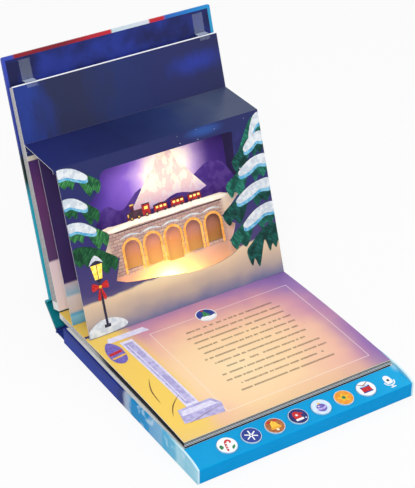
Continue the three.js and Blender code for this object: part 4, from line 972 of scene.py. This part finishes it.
# The lit panes, the train and the road snow are given a painted glow.
lit_pane = ink("ffcf5a", "ffe38c", 3.0, 0.4, 0.6)
outline_ink = ink("43303c", "553c48", 3.0)
train_red = ink("a3202c", "bf3a36", 3.0, 0.4, 0.1)
train_gold = ink("e8b23c", "f5cc5e", 3.0, 0.4, 0.2)
road_snow = ink("f6ead8", "fff6e6", 6.0, 0.4, 0.2)
scene_art = []
for k in range(arch_count):
    middle = first_arch + k * arch_pitch
    ledge = [(middle - 13, 80.2), (middle, 84.0), (middle + 13, 80.2), (middle, 81.8)]
    scene_art.append((snow_cold, smooth(ledge, 3)))
scene_art.append((outline_ink, bar(-60, 88.4, 66, 88.4, 1.2)))
scene_art.append((road_snow, smooth([
    (-66, 93), (-40, 95.6), (0, 94.8), (40, 95.6), (72, 93), (66, 89.6), (30, 90.6), (0, 90.0),
    (-34, 90.8), (-62, 89.4)], 3)))
for right in (44, 24, 4):
    left_end = right - 15.5
    right_end = right - 0.6
    carriage = [(left_end, 97.6), (right_end, 97.6), (right_end, 103.0), (left_end, 103.0)]
    scene_art.append((train_red, carriage))
    for w in (3, 7.6, 12.2):
        scene_art.append((lit_pane, bar(right - w - 1.4, 101.4, right - w + 1.4, 101.4, 2.2)))
    for w in (3.4, 12.6):
        scene_art.append((outline_ink, ring(right - w, 97.2, 1.5, count=12)))
scene_art += [
    (train_red, [(-25, 97.6), (-16.4, 97.6), (-16.4, 108), (-25, 108)]),
    (lit_pane, bar(-22.6, 104.6, -18.6, 104.6, 3.0)),
    (outline_ink, [(-42, 98.4), (-25, 98.4), (-25, 104.4), (-42, 104.4)]),
    (train_gold, bar(-42.4, 101.4, -41.0, 101.4, 3.0)), (train_gold, bar(-38.4, 111.4, -33.6, 111.4, 1.4))]
for x in (-20.6, -30, -38):
    scene_art.append((outline_ink, ring(x, 97.6, 2.2, count=14)))
    scene_art.append((train_gold, ring(x, 97.6, 0.9, count=10)))
scene_art += [
    (fir_dark, [(84, 72), (91, 90), (98, 72)]), (fir_dark, [(86, 80), (91, 95), (96, 80)]),
    (snow_cold, [(87.6, 88), (91, 96), (94.4, 88), (91, 89.6)]),
    (fir_dark, [(-84, 62), (-77, 82), (-70, 62)]), (snow_cold, [(-80, 76), (-77, 83), (-74, 76), (-77, 78)])]
scenery_print = print_piece("popup_scenery_print", scenery_plane, scene_art, 0.6, 0.012)
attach(scenery_print, "base")

sky_cut = (Vector(sky_plane["foot"]) + Vector(up_lean) * 13.0) / 1000


def card_copy(name, node, body, keep_face=None, cut=None):
    """Copies a card's solid, all of it or the faces or the side of the sky cut that are asked for."""
    card = bpy.data.objects.new(name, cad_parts[node].data.copy())
    work = bmesh.new()
    work.from_mesh(card.data)
    if keep_face:
        spare = [face for face in work.faces if not keep_face(face.calc_center_median())]
        bmesh.ops.delete(work, geom=spare, context="FACES")
    if cut:
        everything = work.verts[:] + work.edges[:] + work.faces[:]
        bmesh.ops.bisect_plane(work, geom=everything, plane_co=sky_cut, plane_no=cut, clear_outer=True)
    work.to_mesh(card.data)
    work.free()
    scene.collection.objects.link(card)
    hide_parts(node)
    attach(card, body)
    return card


front_fold_y = 0.1424
well_above_page = 0.15


def over_fold(centre):
    """True on the box's top panel and rear glue flap, which lie behind the fold at its front edge."""
    return centre.z > well_above_page and centre.y > front_fold_y


# The front, the scenery and the sky card's foot are attached to the base, the top and the rest of the sky
# card to the cover.
low_cards = [panel_print, scenery_print, arches,
             card_copy("popup_front_card", "popup_box", "base", lambda centre: not over_fold(centre)),
             card_copy("popup_scenery_card", "popup_scenery", "base"),
             card_copy("popup_sky_foot", "popup_sky", "base", cut=up_lean)]
high_cards = [peak_print, card_copy("popup_top_card", "popup_box", "cover", over_fold),
              card_copy("popup_sky_card", "popup_sky", "cover", cut=-Vector(up_lean))]
for piece in low_cards:
    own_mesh(piece)
for piece in high_cards:
    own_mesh(piece)


# Cover, spine and straps
# Grey boards are wrapped in a printed laminate: deep blue outside, with a turned-in border round the
# navy endpaper that changes from blue-violet to teal down the board. The spine is teal. Two strips of
# clear film are stuck to the cover and hold the upper pages.
cover_lean = math.radians(17.4)
cover_plane = {"foot": (0.0, 161.6, 31.9), "up": (0.0, math.sin(cover_lean), math.cos(cover_lean)),
               "out": (0.0, -math.cos(cover_lean), math.sin(cover_lean))}
art = Print("cover_print", 0.3)
s = art.climb(cover_plane)
end_paper = art.mix(art.span(art.noise(34.0, 3.0), 0.35, 0.7), "1c1f4a", "27368c")
border = art.ramp(s, 0, 254, [
    (0, "1fa3b8"), (110, "1f9fb6"), (128, "17352c"), (150, "1c2a30"), (165, "2f3f98"), (254, "3c4cae")])
past_side = art.math("SUBTRACT", art.math("ABSOLUTE", art.x), 116.6)
past_edge = art.math("MAXIMUM", past_side, art.math("SUBTRACT", s, 250.4))
top_border = art.ramp(art.x, -120, 120, [
    (-120, "3c4cae"), (-108, "3c4cae"), (-106, "8e2430"), (-50, "7c2230"), (-20, "b42a38"), (2, "c22c38"),
    (4, "c4d8e2"), (46, "d8dce6"), (48, "c22c38"), (64, "c22c38"), (66, "2f62b8"), (90, "2a78c4"),
    (120, "2a90d0")])
border = art.mix(art.span(s, 249.6, 250.2), border, top_border)
right_border = art.times(art.span(art.x, 110.0, 112.0), art.span(s, 252.0, 249.0))
border = art.mix(right_border, border, "2f96c4")
inside = art.mix(art.span(past_edge, -0.2, 0.2), end_paper, border)
outside = art.mix(art.noise(60.0, 3.0), "26388c", "3046a0")
outside = art.mix(art.faces((-1, 0, 0), 0.5), outside, border)
outside = art.mix(art.faces((0, 0, 1), 0.6), outside, top_border)
outside = art.mix(art.faces((1, 0, 0), 0.5), outside, "3aa6cc")
dress("front_cover", art.done(art.mix(art.faces(cover_plane["out"]), outside, inside)))

art = Print("spine_print", 0.3)
spine_teal = art.mix(art.noise(12.0), "0c7482", "118692")
dress("spine_board", art.done(art.mix(art.span(art.z, 6.0, 4.0), spine_teal, "1c2a66")))
art = Print("hinge_print", 0.35)
hinge_paper = art.done(art.mix(art.noise(12.0), "22307a", "2c3c8c"))
dress("case_hinge_paper", hinge_paper)
art = Print("joint_print", 0.35)
dress("cover_hinge_paper", art.done(art.mix(art.noise(12.0), "0f8f9c", "17a3ae")))

bead_radius = 0.0014
bead_length = 0.2436
spine_axis = (0.0, 0.1476, 0.00145)
bead = bpy.data.meshes.new("hinge_bead")
work = bmesh.new()
bmesh.ops.create_cone(work, cap_ends=True, segments=16, radius1=bead_radius, radius2=bead_radius,
                      depth=bead_length)
on_axis = Matrix.Translation(spine_axis) @ Matrix.Rotation(math.pi / 2, 4, "Y")
bmesh.ops.transform(work, matrix=on_axis, verts=work.verts)
work.to_mesh(bead)
work.free()
bead.materials.append(hinge_paper)
hinge_bead = bpy.data.objects.new("hinge_bead", bead)
scene.collection.objects.link(hinge_bead)
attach(hinge_bead, "base")

film = Print("clear_film", 0.14, 0.3, 0.5)
film.done("c3cfe2")
# Painted reflection: the film is paler and less clear where it bridges from the cover to the leaf.
painted_film_glint = film.times(film.span(film.depth(cover_plane), 0.8, 1.6), film.span(film.depth(leaf_plane), 0.3, 0.0))
film.feed(film.surface.inputs["Alpha"], film.math("MULTIPLY_ADD", painted_film_glint, 0.5, 0.08))
for node in ("strap_left", "strap_right"):
    dress(node, film.mat)


# Works inside
# The sound works are bought-in parts screwed or pressed into the tray, so they have plain workshop
# finishes: solder mask, plated steel, black cone paper, silicone and moulded plastic.
def works(name, nodes, dark, light, roughness, metal=0.0, size=0.8):
    art = Print(name, roughness, 0.2, 0.4)
    art.surface.inputs["Metallic"].default_value = metal
    material = art.done(art.mix(art.noise(size, 4.0), dark, light))
    for node in nodes:
        dress(node, material)


steel = ["contact_minus", "contact_plus", "contact_bridge_front", "contact_bridge_rear", "speaker_frame",
         "microphone", "door_screw"] + [f"case_screw_{i}" for i in range(1, 7)]
works("plated_steel", steel, "8f9296", "b4b7bb", 0.3, 1.0)
works("solder_mask", ["circuit_board", "lamp_board"], "14532b", "1d6b39", 0.35, size=2.0)
works("silicone", ["button_mat"], "8a8f96", "a2a6ac", 0.6)
works("black_moulding", ["sound_chip", "speaker_magnet", "mode_switch"], "17181b", "26272b", 0.5)
works("cone_paper", ["speaker_cone"], "16161a", "2b2b30", 0.85, size=0.5)
works("cell_wrap", [f"battery_{i}" for i in (1, 2, 3)], "2a2e36", "3c424c", 0.3, size=3.0)
works("door_moulding", ["battery_door"], "d2d3d1", "dededc", 0.5)
works("lead_cover", ["lamp_lead"], "8e1c18", "b12a22", 0.45)
art = Print("lit_lamp", 0.15)
dress("lamp", art.done(art.mix(art.noise(1.5), "ffd98a", "fff0b4"), 2.0))

glow_light = bpy.data.lights.new("lamp_glow", "POINT")
glow_light.energy = 0.22
glow_light.color = (1.0, 0.74, 0.36)
glow_light.shadow_soft_size = 0.006
glow_holder = bpy.data.objects.new("lamp_glow", glow_light)
glow_holder.location = (-0.006, 0.0975, 0.033)
scene.collection.objects.link(glow_holder)
